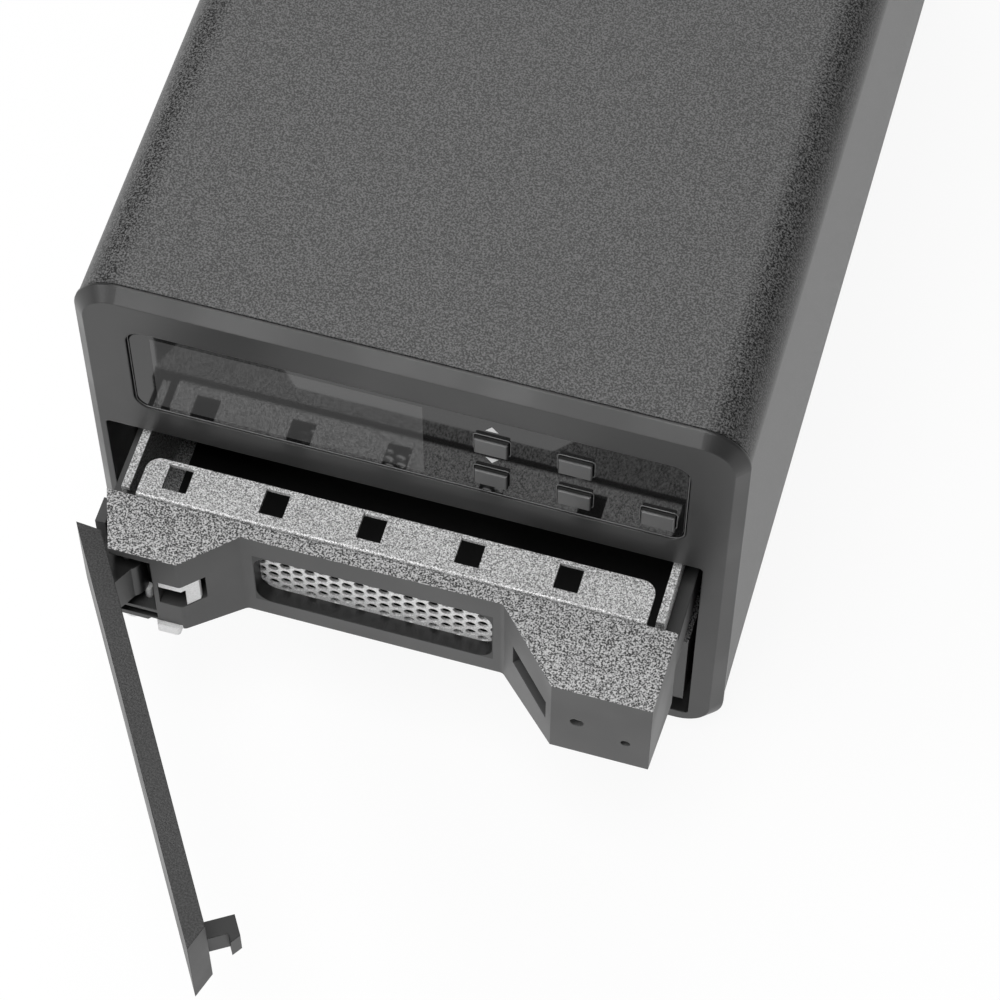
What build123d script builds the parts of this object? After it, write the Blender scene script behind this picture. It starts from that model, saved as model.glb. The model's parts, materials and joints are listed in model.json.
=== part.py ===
from build123d import *
import os
from math import atan2, cos, degrees, hypot, radians, sin, sqrt

# Two bay desktop disk array, in millimetres.
# +Z is up and the front faces -Y. The origin is on the table, in the middle of the
# footprint of the array as it stands here, with its upper tray drawn out and its lever open.
# The trays are sized round a disk, and the housing round two trays, a panel and a fan.

# Hard disk
disk_w = 101.6
disk_len = 147.0
disk_h = 26.1
disk_front = 1.4
disk_lid_t = 1.2
disk_corner = 3.0
disk_socket_w = 46.0
disk_socket_h = 7.0
disk_socket_d = 5.0

# Tray, from the disk outwards
sheet_t = 1.0
disk_side = 5.4
frame_cheek_out = 3.25
tray_over_disk = 3.5
tray_gap_left = 4.2
tray_gap_right = 1.15
tray_gap_top = 1.25
tray_gap_between = 1.5
tray_gap_bottom = 0.45
tray_inset = 0.5
drawn_out = 33.1

# Front bezel
bezel_side = 7.95
bezel_sill = 5.5
bezel_r = 9.6
bevel = 2.45
rim_t = 3.0
plate_t = 4.5
bezel_depth = 14.0
plug_gap = 0.3
bezel_pocket_wall = 2.0
bay_corner = 1.0

# Outer cover, a rounded sleeve behind the bezel
cover_step = 0.3
cover_gap = 0.4
cover_t = 1.6
foot_h = 3.3
foot_r = 6.5
foot_chamfer = 0.6
foot_from_side = 19.4
foot_inset = 22.0

# Control panel
panel_margin = 10.8
panel_h = 27.7
panel_r = 4.0
panel_over_bay = 8.4
panel_pocket = 2.2
window_t = 1.8
window_gap = 0.25
window_chamfer = 0.4
display_from_left = 3.9
display_to_buttons = 12.9
display_border = 4.35
display_frame = 2.5
display_fit = 0.3
display_back = 9.9
button_w = 6.8
button_h = 5.0
button_gap = 0.3
button_proud = 0.8
button_flange = 0.9
button_flange_t = 1.0
button_travel = 0.8
button_stem_w = 2.5
button_pitch_x = 16.8
button_from_right = 5.8
button_up_row = 4.55
button_low_row = 6.95
lens_r = 1.5
lens_row = 5.05
board_depth = 10.0
board_t = 1.6
board_margin = 1.6
boss_r = 2.2
boss_from_button = 7.35
boss_margin = 3.2
switch_size = 6.0
switch_body = 2.2

# Tray front, a moulded block with a recess for fingers behind the lever
block_depth = 18.1
front_taper = 0.35
front_rise = 4.65
slope_run = 16.6
wall_t = 3.3
skin_t = 2.0
block_wall = 2.2
lever_recess = 5.15
tray_edge_r = 1.4
left_front = 5.65
left_cut = 4.6
left_cut_y = 8.0
left_wall_y = 12.5
left_slant = 19.9
left_recess = 29.95
right_recess = 34.65
right_front = 20.65
heel_gap = 0.45
pocket_right = 14.15
pocket_floor = 8.25
pocket_back = 2.6
skin_cut = 4.0
grille_side = 2.25
grille_low = 5.65
grille_over = 6.65
grille_r = 3.7
led_large_side = 15.3
led_large_drop = 12.55
led_large_r = 1.4
led_small_side = 5.3
led_small_drop = 16.15
led_small_r = 1.0
led_recess = 1.2
pipe_gap = 0.05
catch_from = 4.3
catch_to = 18.3
catch_low = 12.55
catch_high = 19.25
window_from_pocket = 1.0
window_past_slant = 4.05
spring_window_low = 12.25
spring_window_high = 20.25
spring_window_back = 12.0
ledge_slot_low = 4.95
ledge_slot_h = 2.2
ledge_slot_depth = 5.0
ledge_slot_end = 0.6

# Tray sheet metal
grille_sheet_t = 0.6
grille_pitch = 3.0
grille_hole = 2.2
grille_rows = 5
bracket_side = 3.35
bracket_depth = 9.5
bracket_bend = 0.9
bracket_corner = 3.0
bracket_drop = 0.75
bracket_low = 2.85
square_w = 5.05
square_d = 5.75
square_pitch = 20.3
square_end = 8.0
square_offset = -5.1
square_inset = 2.9
frame_over = 3.0
frame_base_z = 0.3
frame_drop = 1.0
frame_low_h = 15.0
frame_cheek = 42.0
frame_hem = 1.7
runner_gap = 0.5
runner_z = 10.0
runner_h = 12.0
guide_gap = 0.3
guide_lip = 2.0
guide_web = 0.7
guide_start = 20.0
guide_past = 1.5

# Latch spring: a blade behind the window's upper edge, with a tab down its far side
spring_t = 0.5
spring_behind = 0.2
spring_bar = 2.0
spring_tab = 2.2
spring_gap = 0.05
spring_leg_r = 0.85

# Lever
lever_t = 4.3
lever_tip_gap = 1.5
lever_end_left = 3.2
lever_end_right = 3.6
lever_low = 5.95
lever_drop = 0.85
lever_open = 58.1
lever_max = 75.0
pivot_side = 7.95
pivot_y = 8.3
heel = 6.7
pin_r = 1.2
pin_gap = 0.05
hub_r = 3.6
hub_low = 12.0
hub_drop = 6.6
hub_root = 7.0
hook_from_tip = 8.9
hook_t = 3.6
hook_reach = 6.4
hook_tip = 1.9
hook_gap = 0.35
cam_low = 1.6
cam_t = 1.5
cam_gap = 0.3
cam_arm = 1.8
cam_hub_r = 2.6
toe_from = 5.5
toe_to = 10.9
toe_front = 4.0
toe_back = 0.8
toe_low = 1.25
toe_high = 4.2
room_sides = 12

# Drive cage, backplane and boards
cage_side = 2.05
cage_t = 1.2
cage_gap = 0.3
cage_behind = 7.2
cage_rib_side = 15.5
cage_rib_w = 8.0
cage_window_edge = 14.0
socket_d = 8.0
socket_w = 42.0
socket_h = 6.0
socket_z = 5.5
socket_tongue = 3.0
socket_clear = 0.3
board_side = 11.5
main_board_len = 104.0
standoff_h = 5.6
standoff_r = 2.5
sink_size = 30.0
sink_h = 9.0
sink_fins = 6
sink_fin_t = 1.4
chip_h = 2.0

# Rear panel, fan and sockets
rear_t = 1.5
rear_recess = 2.0
rear_gap = 0.2
rear_flange = 12.0
fan_size = 60.0
fan_depth = 25.0
fan_clear = 4.5
fan_rim = 1.5
fan_corner = 4.0
fan_hub_r = 12.5
fan_hub_gap = 0.6
fan_blade_gap = 1.0
fan_blades = 7
fan_blade_t = 1.3
fan_blade_chord = 21.0
fan_blade_sag = 2.2
fan_blade_pitch = 42.0
fan_stator_t = 2.5
fan_arm_w = 3.2
fan_screw_side = 5.0
fan_shaft_r = 1.5
fan_shaft_gap = 0.05
screw_head_r = 3.4
screw_head_t = 1.5
air_slot_h = 3.6
air_slot_pitch = 6.2
air_bar = 3.2
air_margin = 2.1
usb_x = -28.0
usb_w = 12.0
usb_h = 11.0
usb_d = 16.0
usb_wall = 0.9
esata_x = -2.0
esata_w = 14.6
esata_h = 8.0
esata_d = 14.0
inlet_x = 26.0
inlet_w = 14.0
inlet_h = 12.0
inlet_d = 14.0
inlet_hole_r = 4.6
inlet_pin_r = 1.0
port_proud = 0.6
port_gap = 0.25
rocker_from_side = 21.3
rocker_from_top = 13.4
rocker_w = 9.0
rocker_h = 14.0
rocker_frame = 2.0
rocker_frame_t = 1.2
rocker_depth = 13.0
rocker_gap = 0.4
rocker_pivot_r = 1.2
rocker_pivot_gap = 0.05
rear_screw_r = 2.6

# Tray sizes worked out from the disk
frame_w = disk_w + 2 * disk_side
frame_len = disk_len + frame_over
tray_w = frame_w + 2 * frame_cheek_out
tray_half = tray_w / 2
tray_h = disk_h + tray_over_disk
bracket_w = frame_w - 2 * bracket_side
bracket_top = tray_h - bracket_drop
bracket_front = block_depth + grille_sheet_t
frame_front = bracket_front + sheet_t + guide_gap
frame_top = tray_h - frame_drop
disk_y = frame_front + disk_front
disk_z = frame_base_z + sheet_t

# Housing sizes worked out from two trays, the panel and the fan
bay_left = tray_half + tray_gap_left
bay_right = tray_half + tray_gap_right
bay_h = tray_gap_top + 2 * tray_h + tray_gap_between + tray_gap_bottom
bezel_w = tray_w + 2 * bezel_side
bezel_h = bezel_sill + bay_h + panel_over_bay + panel_h + panel_margin
bezel_z = foot_h - cover_step
body_z = bezel_z + bezel_h / 2
cover_w = bezel_w - 2 * cover_step
cover_h = bezel_h - 2 * cover_step
inner_w = cover_w - 2 * cover_t
inner_h = cover_h - 2 * cover_t
inner_r = bezel_r - cover_t
floor_z = foot_h + cover_t
foot_x = bezel_w / 2 - foot_from_side
bay_z = bezel_z + bezel_sill
bay_top = bay_z + bay_h
panel_w = bezel_w - 2 * panel_margin
panel_z = bay_top + panel_over_bay
panel_mid = panel_z + panel_h / 2
lower_z = bay_z + tray_gap_bottom
upper_z = lower_z + tray_h + tray_gap_between
cage_w = tray_w + 2 * cage_side
cage_top = bay_top + cage_gap + cage_t
fan_low = max(bay_z + bay_h / 2 - fan_size / 2, floor_z + rear_t + 2 * rear_gap)
fan_z = fan_low + fan_size / 2
board_under = max(cage_top + standoff_h, fan_low + fan_size + rear_gap)
board_top = board_under + board_t
socket_depth = tray_inset + disk_y + disk_len + socket_clear
backplane_depth = socket_depth + socket_d
cage_depth = backplane_depth + board_t + cage_behind
body_depth = cage_depth + fan_clear + fan_depth + rear_t + rear_recess

# Tray front and lever, measured across the tray
left_front_x = left_front - tray_half
left_cut_x = left_cut - tray_half
left_slant_x = left_slant - tray_half
recess_left_x = left_recess - tray_half
recess_right_x = tray_half - right_recess
right_front_x = tray_half - right_front
pocket_right_x = pocket_right - tray_half
pivot_x = pivot_side - tray_half
lever_tip_x = right_front_x - lever_tip_gap
lever_left_x = pivot_x - heel
lever_high = tray_h - lever_drop

# Places along the depth, with the footprint centred on the origin
open_angle = radians(lever_open)
lever_tip_y = (pivot_y - (lever_tip_x - pivot_x) * sin(open_angle)
               - pivot_y * cos(open_angle))
lever_reach = drawn_out - tray_inset - lever_tip_y
face_y = (lever_reach - body_depth) / 2
closed_y = face_y + tray_inset
upper_y = closed_y - drawn_out
socket_front = face_y + socket_depth
backplane_y = face_y + backplane_depth
rear_y = face_y + body_depth - rear_recess
fan_y = rear_y - rear_t - fan_depth

os.makedirs("parts", exist_ok=True)


def front_plane(y, z=0.0):
    """A drawing plane facing the front, with local x to the right and local y up."""
    return Plane(origin=(0, y, z), x_dir=(1, 0, 0), z_dir=(0, -1, 0))


def save(part, label):
    """Names a finished piece and writes it to its own file."""
    part.label = label
    export_step(part, f"parts/{label}.step")


def tray_places():
    """Each tray's name with the place of its own frame: the drawn one, then the closed one."""
    return [("upper", Location((0, upper_y, upper_z))), ("lower", Location((0, closed_y, lower_z)))]


def button_places():
    """Each button's name with its centre on the front: two columns of two and one alone."""
    low = panel_mid - button_low_row
    high = panel_mid + button_up_row
    last = panel_w / 2 - button_from_right
    columns = [last - step * button_pitch_x for step in (2, 1, 0)]
    return [("up", columns[0], high), ("down", columns[0], low), ("back", columns[1], high),
            ("enter", columns[1], low), ("silence", columns[2], low)]


first_button_x = button_places()[0][1]
last_button_x = button_places()[-1][1]
display_left_x = display_from_left - panel_w / 2
display_w = first_button_x - display_to_buttons - display_left_x
display_x = display_left_x + display_w / 2
display_h = panel_h - 2 * display_border
lens_place = (last_button_x, panel_mid + lens_row)


def boss_places():
    """The four bosses that hold the control board, on either side of the middle buttons."""
    half = panel_h / 2 - boss_margin
    columns = (first_button_x - boss_from_button, last_button_x - button_pitch_x / 2)
    return [(x, panel_mid + side * half) for x in columns for side in (-1, 1)]


# Outer cover: a sleeve with four round long edges
with BuildPart() as outer_cover:
    with BuildSketch(front_plane(face_y + rim_t + cover_gap)):
        with Locations((0, body_z)):
            RectangleRounded(cover_w, cover_h, bezel_r - cover_step)
            RectangleRounded(inner_w, inner_h, inner_r - cover_step, mode=Mode.SUBTRACT)
    extrude(amount=rim_t + cover_gap - body_depth)
save(outer_cover.part, "outer_cover")

# Rubber feet, stuck under the flat of the cover
with BuildPart() as rubber_feet:
    for foot_y in (face_y + foot_inset, face_y + body_depth - foot_inset):
        with BuildSketch(Plane.XY):
            with Locations((-foot_x, foot_y), (foot_x, foot_y)):
                Circle(foot_r)
        extrude(amount=foot_h)
    chamfer(rubber_feet.edges().group_by(Axis.Z)[0], foot_chamfer)
save(rubber_feet.part, "rubber_feet")

# Front bezel: bevelled rim, a plug inside the cover, the panel pocket and the bay opening
plug_w = inner_w - 2 * plug_gap
plug_h = inner_h - 2 * plug_gap
with BuildPart() as front_bezel:
    with BuildSketch(front_plane(face_y)):
        with Locations((0, body_z)):
            RectangleRounded(bezel_w, bezel_h, bezel_r)
    extrude(amount=-rim_t)
    chamfer(front_bezel.faces().sort_by(Axis.Y)[0].edges(), bevel)
    with BuildSketch(front_plane(face_y + rim_t)):
        with Locations((0, body_z)):
            RectangleRounded(plug_w, plug_h, inner_r - cover_step - plug_gap)
    extrude(amount=rim_t - bezel_depth)
    hollow_low = bay_top + bezel_pocket_wall
    hollow_high = body_z + plug_h / 2 - bezel_pocket_wall
    with BuildSketch(front_plane(face_y + plate_t)):
        with Locations((0, (hollow_low + hollow_high) / 2)):
            Rectangle(plug_w - 2 * inner_r, hollow_high - hollow_low)
    extrude(amount=plate_t - bezel_depth, mode=Mode.SUBTRACT)
    with BuildSketch(front_plane(face_y)):
        with Locations(((bay_right - bay_left) / 2, bay_z + bay_h / 2)):
            RectangleRounded(bay_left + bay_right, bay_h, bay_corner)
    extrude(amount=-bezel_depth, mode=Mode.SUBTRACT)
    with BuildSketch(front_plane(face_y)):
        with Locations((0, panel_mid)):
            RectangleRounded(panel_w, panel_h, panel_r)
    extrude(amount=-panel_pocket, mode=Mode.SUBTRACT)
    with BuildSketch(front_plane(face_y + plate_t)):
        with Locations(*boss_places()):
            RegularPolygon(boss_r, 6)
    extrude(amount=plate_t - board_depth)
    with BuildSketch(front_plane(face_y)):
        with Locations((display_x, panel_mid)):
            Rectangle(display_w + 2 * display_fit, display_h + 2 * display_fit)
        for name, x, z in button_places():
            with Locations((x, z)):
                Rectangle(button_w + 2 * button_gap, button_h + 2 * button_gap)
        with Locations(lens_place):
            Circle(lens_r)
    extrude(amount=-plate_t, mode=Mode.SUBTRACT)
save(front_bezel.part, "front_bezel")

# Control window: a clear plate in the pocket, pierced for the buttons
with BuildPart() as control_window:
    with BuildSketch(front_plane(face_y + panel_pocket - window_t)):
        with Locations((0, panel_mid)):
            RectangleRounded(panel_w - 2 * window_gap, panel_h - 2 * window_gap, panel_r - window_gap)
    extrude(amount=-window_t)
    chamfer(control_window.faces().sort_by(Axis.Y)[0].edges(), window_chamfer)
    with BuildSketch(front_plane(face_y)):
        for name, x, z in button_places():
            with Locations((x, z)):
                Rectangle(button_w + 2 * button_gap, button_h + 2 * button_gap)
    extrude(amount=-panel_pocket, mode=Mode.SUBTRACT)
save(control_window.part, "control_window")

# Display: a framed glass module whose nose fills the cut-out behind the window
with BuildPart() as lcd_display:
    with BuildSketch(front_plane(face_y + panel_pocket)):
        with Locations((display_x, panel_mid)):
            Rectangle(display_w, display_h)
    extrude(amount=panel_pocket - plate_t)
    with BuildSketch(front_plane(face_y + plate_t)):
        with Locations((display_x, panel_mid)):
            Rectangle(display_w + 2 * display_frame, display_h + 2 * display_frame)
    extrude(amount=plate_t - display_back)
save(lcd_display.part, "lcd_display")

# Alarm lens: a clear pin from the board to the back of the window
with BuildPart() as alarm_lens:
    with BuildSketch(front_plane(face_y + panel_pocket)):
        with Locations(lens_place):
            Circle(lens_r - pipe_gap)
    extrude(amount=panel_pocket - board_depth)
save(alarm_lens.part, "alarm_lens")

# Control board on the bezel's bosses, with one press switch behind each button
with BuildPart() as control_board:
    with BuildSketch(front_plane(face_y + board_depth)):
        with Locations((0, panel_mid)):
            Rectangle(panel_w - 2 * board_margin, panel_h - 2 * board_margin)
    extrude(amount=-board_t)
save(control_board.part, "control_board")

with BuildPart() as press_switches:
    with BuildSketch(front_plane(face_y + board_depth)):
        for name, x, z in button_places():
            with Locations((x, z)):
                Rectangle(switch_size, switch_size)
    extrude(amount=switch_body)
save(press_switches.part, "press_switches")

with BuildPart() as board_screws:
    with BuildSketch(front_plane(face_y + board_depth + board_t)):
        with Locations(*boss_places()):
            RegularPolygon(boss_r, 6)
    extrude(amount=-screw_head_t)
save(board_screws.part, "board_screws")

# Push buttons: a cap through the window, a flange that keeps it behind the plate, and a stem
# that ends one stroke in front of its switch
for name, x, z in button_places():
    flange_front = face_y + plate_t + button_gap
    switch_front = face_y + board_depth - switch_body
    with BuildPart() as button:
        with BuildSketch(front_plane(face_y - button_proud)):
            with Locations((x, z)):
                Rectangle(button_w, button_h)
        extrude(amount=face_y - button_proud - flange_front)
        chamfer(button.faces().sort_by(Axis.Y)[0].edges(), button_gap)
        with BuildSketch(front_plane(flange_front)):
            with Locations((x, z)):
                Rectangle(button_w + 2 * button_flange, button_h + 2 * button_flange)
        extrude(amount=-button_flange_t)
        with BuildSketch(front_plane(flange_front + button_flange_t)):
            with Locations((x, z)):
                Rectangle(button_stem_w, button_stem_w)
        extrude(amount=flange_front + button_flange_t + button_travel + pin_gap - switch_front)
    save(button.part, f"button_{name}")

# Drive cage: a sheet tunnel round both bays, with windowed sides, standing on two pressed ribs
cage_low = bay_z - cage_gap
cage_front = face_y + bezel_depth + cage_gap
cage_inner_h = bay_h + 2 * cage_gap
cage_len = cage_depth - bezel_depth - cage_gap
cage_rib_x = cage_w / 2 - cage_rib_side
with BuildPart() as drive_cage:
    with BuildSketch(front_plane(cage_front)):
        with Locations((0, cage_low + cage_inner_h / 2)):
            Rectangle(cage_w, cage_inner_h + 2 * cage_t)
            Rectangle(cage_w - 2 * cage_t, cage_inner_h, mode=Mode.SUBTRACT)
        rib_h = cage_low - cage_t - floor_z
        with Locations((-cage_rib_x, floor_z + rib_h / 2), (cage_rib_x, floor_z + rib_h / 2)):
            Rectangle(cage_rib_w, rib_h)
    extrude(amount=-cage_len)
    with BuildSketch(Plane.YZ.offset(-cage_w / 2)):
        with Locations((cage_front + cage_len / 2, cage_low + cage_inner_h / 2)):
            Rectangle(cage_len - 2 * cage_window_edge, tray_gap_between + 2 * runner_z - 2 * guide_lip)
    extrude(amount=cage_w, mode=Mode.SUBTRACT)
save(drive_cage.part, "drive_cage")

# Tray guides: plastic channels on the cage walls, one each side of each bay
guide_out = cage_w / 2 - cage_t
guide_in = frame_w / 2 + guide_gap + sheet_t
guide_end = tray_inset + frame_front + frame_len + guide_past
with BuildPart() as tray_guides:
    for level in (lower_z, upper_z):
        for side in (-1, 1):
            low = level + runner_z - guide_gap - guide_lip
            high = level + runner_z + runner_h + guide_gap + guide_lip
            with BuildSketch(front_plane(face_y + guide_start)):
                with Locations((side * (guide_in + guide_out) / 2, (low + high) / 2)):
                    Rectangle(guide_out - guide_in, high - low)
                mouth = guide_out - guide_web - guide_in
                with Locations((side * (guide_in + mouth / 2), (low + high) / 2)):
                    Rectangle(mouth, high - low - 2 * guide_lip, mode=Mode.SUBTRACT)
            extrude(amount=guide_start - guide_end)
save(tray_guides.part, "tray_guides")

# Backplane with air slots, and the two drive sockets that stand on it
with BuildPart() as backplane:
    with BuildSketch(front_plane(backplane_y)):
        with Locations((0, cage_low + cage_inner_h / 2)):
            Rectangle(cage_w - 2 * cage_t - 2 * cage_gap, cage_inner_h - 2 * cage_gap)
        for level in (lower_z, upper_z):
            with Locations((0, level + tray_h * 2 / 3)):
                with GridLocations(square_pitch * 3 / 2, 0, 3, 1):
                    Rectangle(square_pitch, tray_h / 4, mode=Mode.SUBTRACT)
    extrude(amount=-board_t)
save(backplane.part, "backplane")

with BuildPart() as drive_sockets:
    for level in (lower_z, upper_z):
        with BuildSketch(front_plane(socket_front)):
            with Locations((0, level + disk_z + socket_z)):
                Rectangle(socket_w, socket_h)
        extrude(amount=-socket_d)
        with BuildSketch(front_plane(socket_front)):
            with Locations((0, level + disk_z + socket_z)):
                Rectangle(socket_w - 2 * sheet_t, socket_h / 3)
        extrude(amount=socket_tongue)
save(drive_sockets.part, "drive_sockets")

# Main board on standoffs above the cage, with its cooled chip
main_board_w = cage_w - 2 * board_side
board_back = rear_y - rear_t - cage_gap
board_front = board_back - main_board_len
standoff_x = main_board_w / 2 - 2 * standoff_r
with BuildPart() as board_standoffs:
    for standoff_y in (board_front + 2 * standoff_r, cage_front + cage_len - 3 * standoff_r):
        with BuildSketch(Plane.XY.offset(cage_top)):
            with Locations((-standoff_x, standoff_y), (standoff_x, standoff_y)):
                RegularPolygon(standoff_r, 6)
        extrude(amount=board_under - cage_top)
save(board_standoffs.part, "board_standoffs")

with BuildPart() as main_board:
    with BuildSketch(Plane.XY.offset(board_under)):
        with Locations((0, board_front + main_board_len / 2)):
            Rectangle(main_board_w, main_board_len)
    extrude(amount=board_t)
save(main_board.part, "main_board")

sink_y = board_front + main_board_len / 3
with BuildPart() as heat_sink:
    with BuildSketch(Plane.XY.offset(board_top)):
        with Locations((0, sink_y)):
            Rectangle(sink_size * 3 / 4, sink_size * 3 / 4)
    extrude(amount=chip_h)
    with BuildSketch(Plane.XY.offset(board_top + chip_h)):
        with Locations((0, sink_y)):
            Rectangle(sink_size, sink_size)
    extrude(amount=chip_h)
    with BuildSketch(Plane.XY.offset(board_top + 2 * chip_h)):
        with Locations((0, sink_y)):
            with GridLocations((sink_size - sink_fin_t) / (sink_fins - 1), 0, sink_fins, 1):
                Rectangle(sink_fin_t, sink_size)
    extrude(amount=sink_h)
save(heat_sink.part, "heat_sink")

# Rear sockets on the main board
port_face = rear_y + port_proud
with BuildPart() as usb_port:
    with BuildSketch(front_plane(port_face)):
        with Locations((usb_x, board_top + usb_h / 2)):
            Rectangle(usb_w, usb_h)
    extrude(amount=usb_d)
    with BuildSketch(front_plane(port_face)):
        with Locations((usb_x, board_top + usb_h / 2)):
            Rectangle(usb_w - 2 * usb_wall, usb_h - 2 * usb_wall)
            Rectangle(usb_w / 2, usb_h / 3, mode=Mode.SUBTRACT)
    extrude(amount=usb_d * 2 / 3, mode=Mode.SUBTRACT)
save(usb_port.part, "usb_port")

with BuildPart() as esata_port:
    with BuildSketch(front_plane(port_face)):
        with Locations((esata_x, board_top + esata_h / 2)):
            Rectangle(esata_w, esata_h)
    extrude(amount=esata_d)
    with BuildSketch(front_plane(port_face)):
        with Locations((esata_x, board_top + esata_h / 2)):
            Rectangle(esata_w - 2 * usb_wall, esata_h - 2 * usb_wall)
            Rectangle(esata_w * 2 / 3, usb_wall, mode=Mode.SUBTRACT)
    extrude(amount=esata_d * 2 / 3, mode=Mode.SUBTRACT)
save(esata_port.part, "esata_port")

with BuildPart() as power_inlet:
    with BuildSketch(front_plane(port_face)):
        with Locations((inlet_x, board_top + inlet_h / 2)):
            Rectangle(inlet_w, inlet_h)
    extrude(amount=inlet_d)
    with BuildSketch(front_plane(port_face)):
        with Locations((inlet_x, board_top + inlet_h / 2)):
            Circle(inlet_hole_r)
            Circle(inlet_pin_r, mode=Mode.SUBTRACT)
    extrude(amount=inlet_d * 3 / 4, mode=Mode.SUBTRACT)
save(power_inlet.part, "power_inlet")

# Rear panel: a shallow pan inside the sleeve, cut for the fan's air, the sockets and the switch
rear_w = inner_w - 2 * rear_gap
rear_h = inner_h - 2 * rear_gap
rear_r = inner_r - cover_step - rear_gap
rocker_x = rear_w / 2 - rocker_from_side
rocker_z = body_z + inner_h / 2 - rocker_from_top
fan_bore = fan_size / 2 - fan_rim
with BuildPart() as rear_panel:
    with BuildSketch(front_plane(rear_y)):
        with Locations((0, body_z)):
            RectangleRounded(rear_w, rear_h, rear_r)
    extrude(amount=rear_t)
    with BuildSketch(front_plane(rear_y - rear_t)):
        with Locations((0, body_z)):
            RectangleRounded(rear_w, rear_h, rear_r)
            RectangleRounded(rear_w - 2 * rear_t, rear_h - 2 * rear_t, rear_r - rear_t, mode=Mode.SUBTRACT)
    extrude(amount=rear_flange)
    with BuildSketch(front_plane(rear_y)):
        with Locations((usb_x, board_top + usb_h / 2)):
            Rectangle(usb_w + 2 * port_gap, usb_h + 2 * port_gap)
        with Locations((esata_x, board_top + esata_h / 2)):
            Rectangle(esata_w + 2 * port_gap, esata_h + 2 * port_gap)
        with Locations((inlet_x, board_top + inlet_h / 2)):
            Rectangle(inlet_w + 2 * port_gap, inlet_h + 2 * port_gap)
        with Locations((rocker_x, rocker_z)):
            Rectangle(rocker_w + 2 * rocker_frame_t, rocker_h + 2 * rocker_frame_t)
        # level air slots on either side of a middle bar, as many and as wide as the bore allows
        air_rows = int((fan_bore - air_margin - air_slot_h / 2) / air_slot_pitch + 0.5)
        for slot in range(2 * air_rows):
            level = (slot - air_rows + 0.5) * air_slot_pitch
            reach = sqrt((fan_bore - air_margin) ** 2 - (abs(level) + air_slot_h / 2) ** 2)
            slot_w = reach - air_bar / 2
            for side in (-1, 1):
                with Locations((side * (air_bar + slot_w) / 2, fan_z + level)):
                    Rectangle(slot_w, air_slot_h)
    extrude(amount=rear_t, mode=Mode.SUBTRACT)
save(rear_panel.part, "rear_panel")

# Fan: square frame with a stator hub on four arms, a bladed rotor and four screws
stator_y = fan_y + fan_depth
fan_screw_span = fan_size - 2 * fan_screw_side
with BuildPart() as fan_frame:
    with BuildSketch(front_plane(stator_y)):
        with Locations((0, fan_z)):
            Rectangle(fan_size, fan_size)
            Circle(fan_bore, mode=Mode.SUBTRACT)
    extrude(amount=fan_depth)
    chamfer(fan_frame.edges().filter_by(Axis.Y).filter_by(GeomType.LINE).group_by(SortBy.LENGTH)[-1]
            .filter_by(lambda edge: abs(edge.center().X) > fan_bore), fan_corner)
    with BuildSketch(front_plane(stator_y)):
        with Locations((0, fan_z)):
            Circle(fan_hub_r)
            Rectangle(2 * fan_bore, fan_arm_w)
            Rectangle(fan_arm_w, 2 * fan_bore)
    extrude(amount=fan_stator_t)
    with BuildSketch(front_plane(stator_y - fan_stator_t)):
        with Locations((0, fan_z)):
            Circle(fan_shaft_r)
    extrude(amount=fan_depth / 2)
save(fan_frame.part, "fan_frame")

# Each blade is a cambered strip drawn across its chord and pushed outwards from the axis
rotor_len = fan_depth - fan_stator_t - 2 * fan_hub_gap - 2 * sheet_t
rotor_back = stator_y - fan_stator_t - fan_hub_gap
rotor_mid = rotor_back - rotor_len / 2
blade_out = fan_bore - fan_blade_gap
blade_half = fan_blade_chord / 2
pitch = radians(fan_blade_pitch)
blade_reach = sqrt(blade_out ** 2 - (blade_half * sin(pitch)) ** 2)
with BuildPart() as fan_rotor:
    for blade in range(fan_blades):
        turn = radians(blade * 360 / fan_blades)
        outward = (cos(turn), 0, sin(turn))
        along = (-sin(turn) * sin(pitch), cos(pitch), cos(turn) * sin(pitch))
        with BuildSketch(Plane(origin=(0, rotor_mid, fan_z), x_dir=along, z_dir=outward)):
            with BuildLine():
                Polyline((-blade_half, 0), (-blade_half / 3, fan_blade_sag),
                         (blade_half / 3, fan_blade_sag), (blade_half, 0), (blade_half, -fan_blade_t),
                         (blade_half / 3, fan_blade_sag - fan_blade_t),
                         (-blade_half / 3, fan_blade_sag - fan_blade_t), (-blade_half, -fan_blade_t),
                         close=True)
            make_face()
        extrude(amount=blade_reach)
    with BuildSketch(front_plane(rotor_back)):
        with Locations((0, fan_z)):
            Circle(fan_hub_r)
    extrude(amount=rotor_len)
    with BuildSketch(front_plane(rotor_back)):
        with Locations((0, fan_z)):
            Circle(fan_shaft_r + fan_shaft_gap)
    extrude(amount=fan_depth / 2, mode=Mode.SUBTRACT)
save(fan_rotor.part, "fan_rotor")

with BuildPart() as fan_screws:
    with BuildSketch(front_plane(rear_y + screw_head_t)):
        with Locations((0, fan_z)):
            with GridLocations(fan_screw_span, fan_screw_span, 2, 2):
                RegularPolygon(screw_head_r, 6)
    extrude(amount=screw_head_t)
save(fan_screws.part, "fan_screws")

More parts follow.
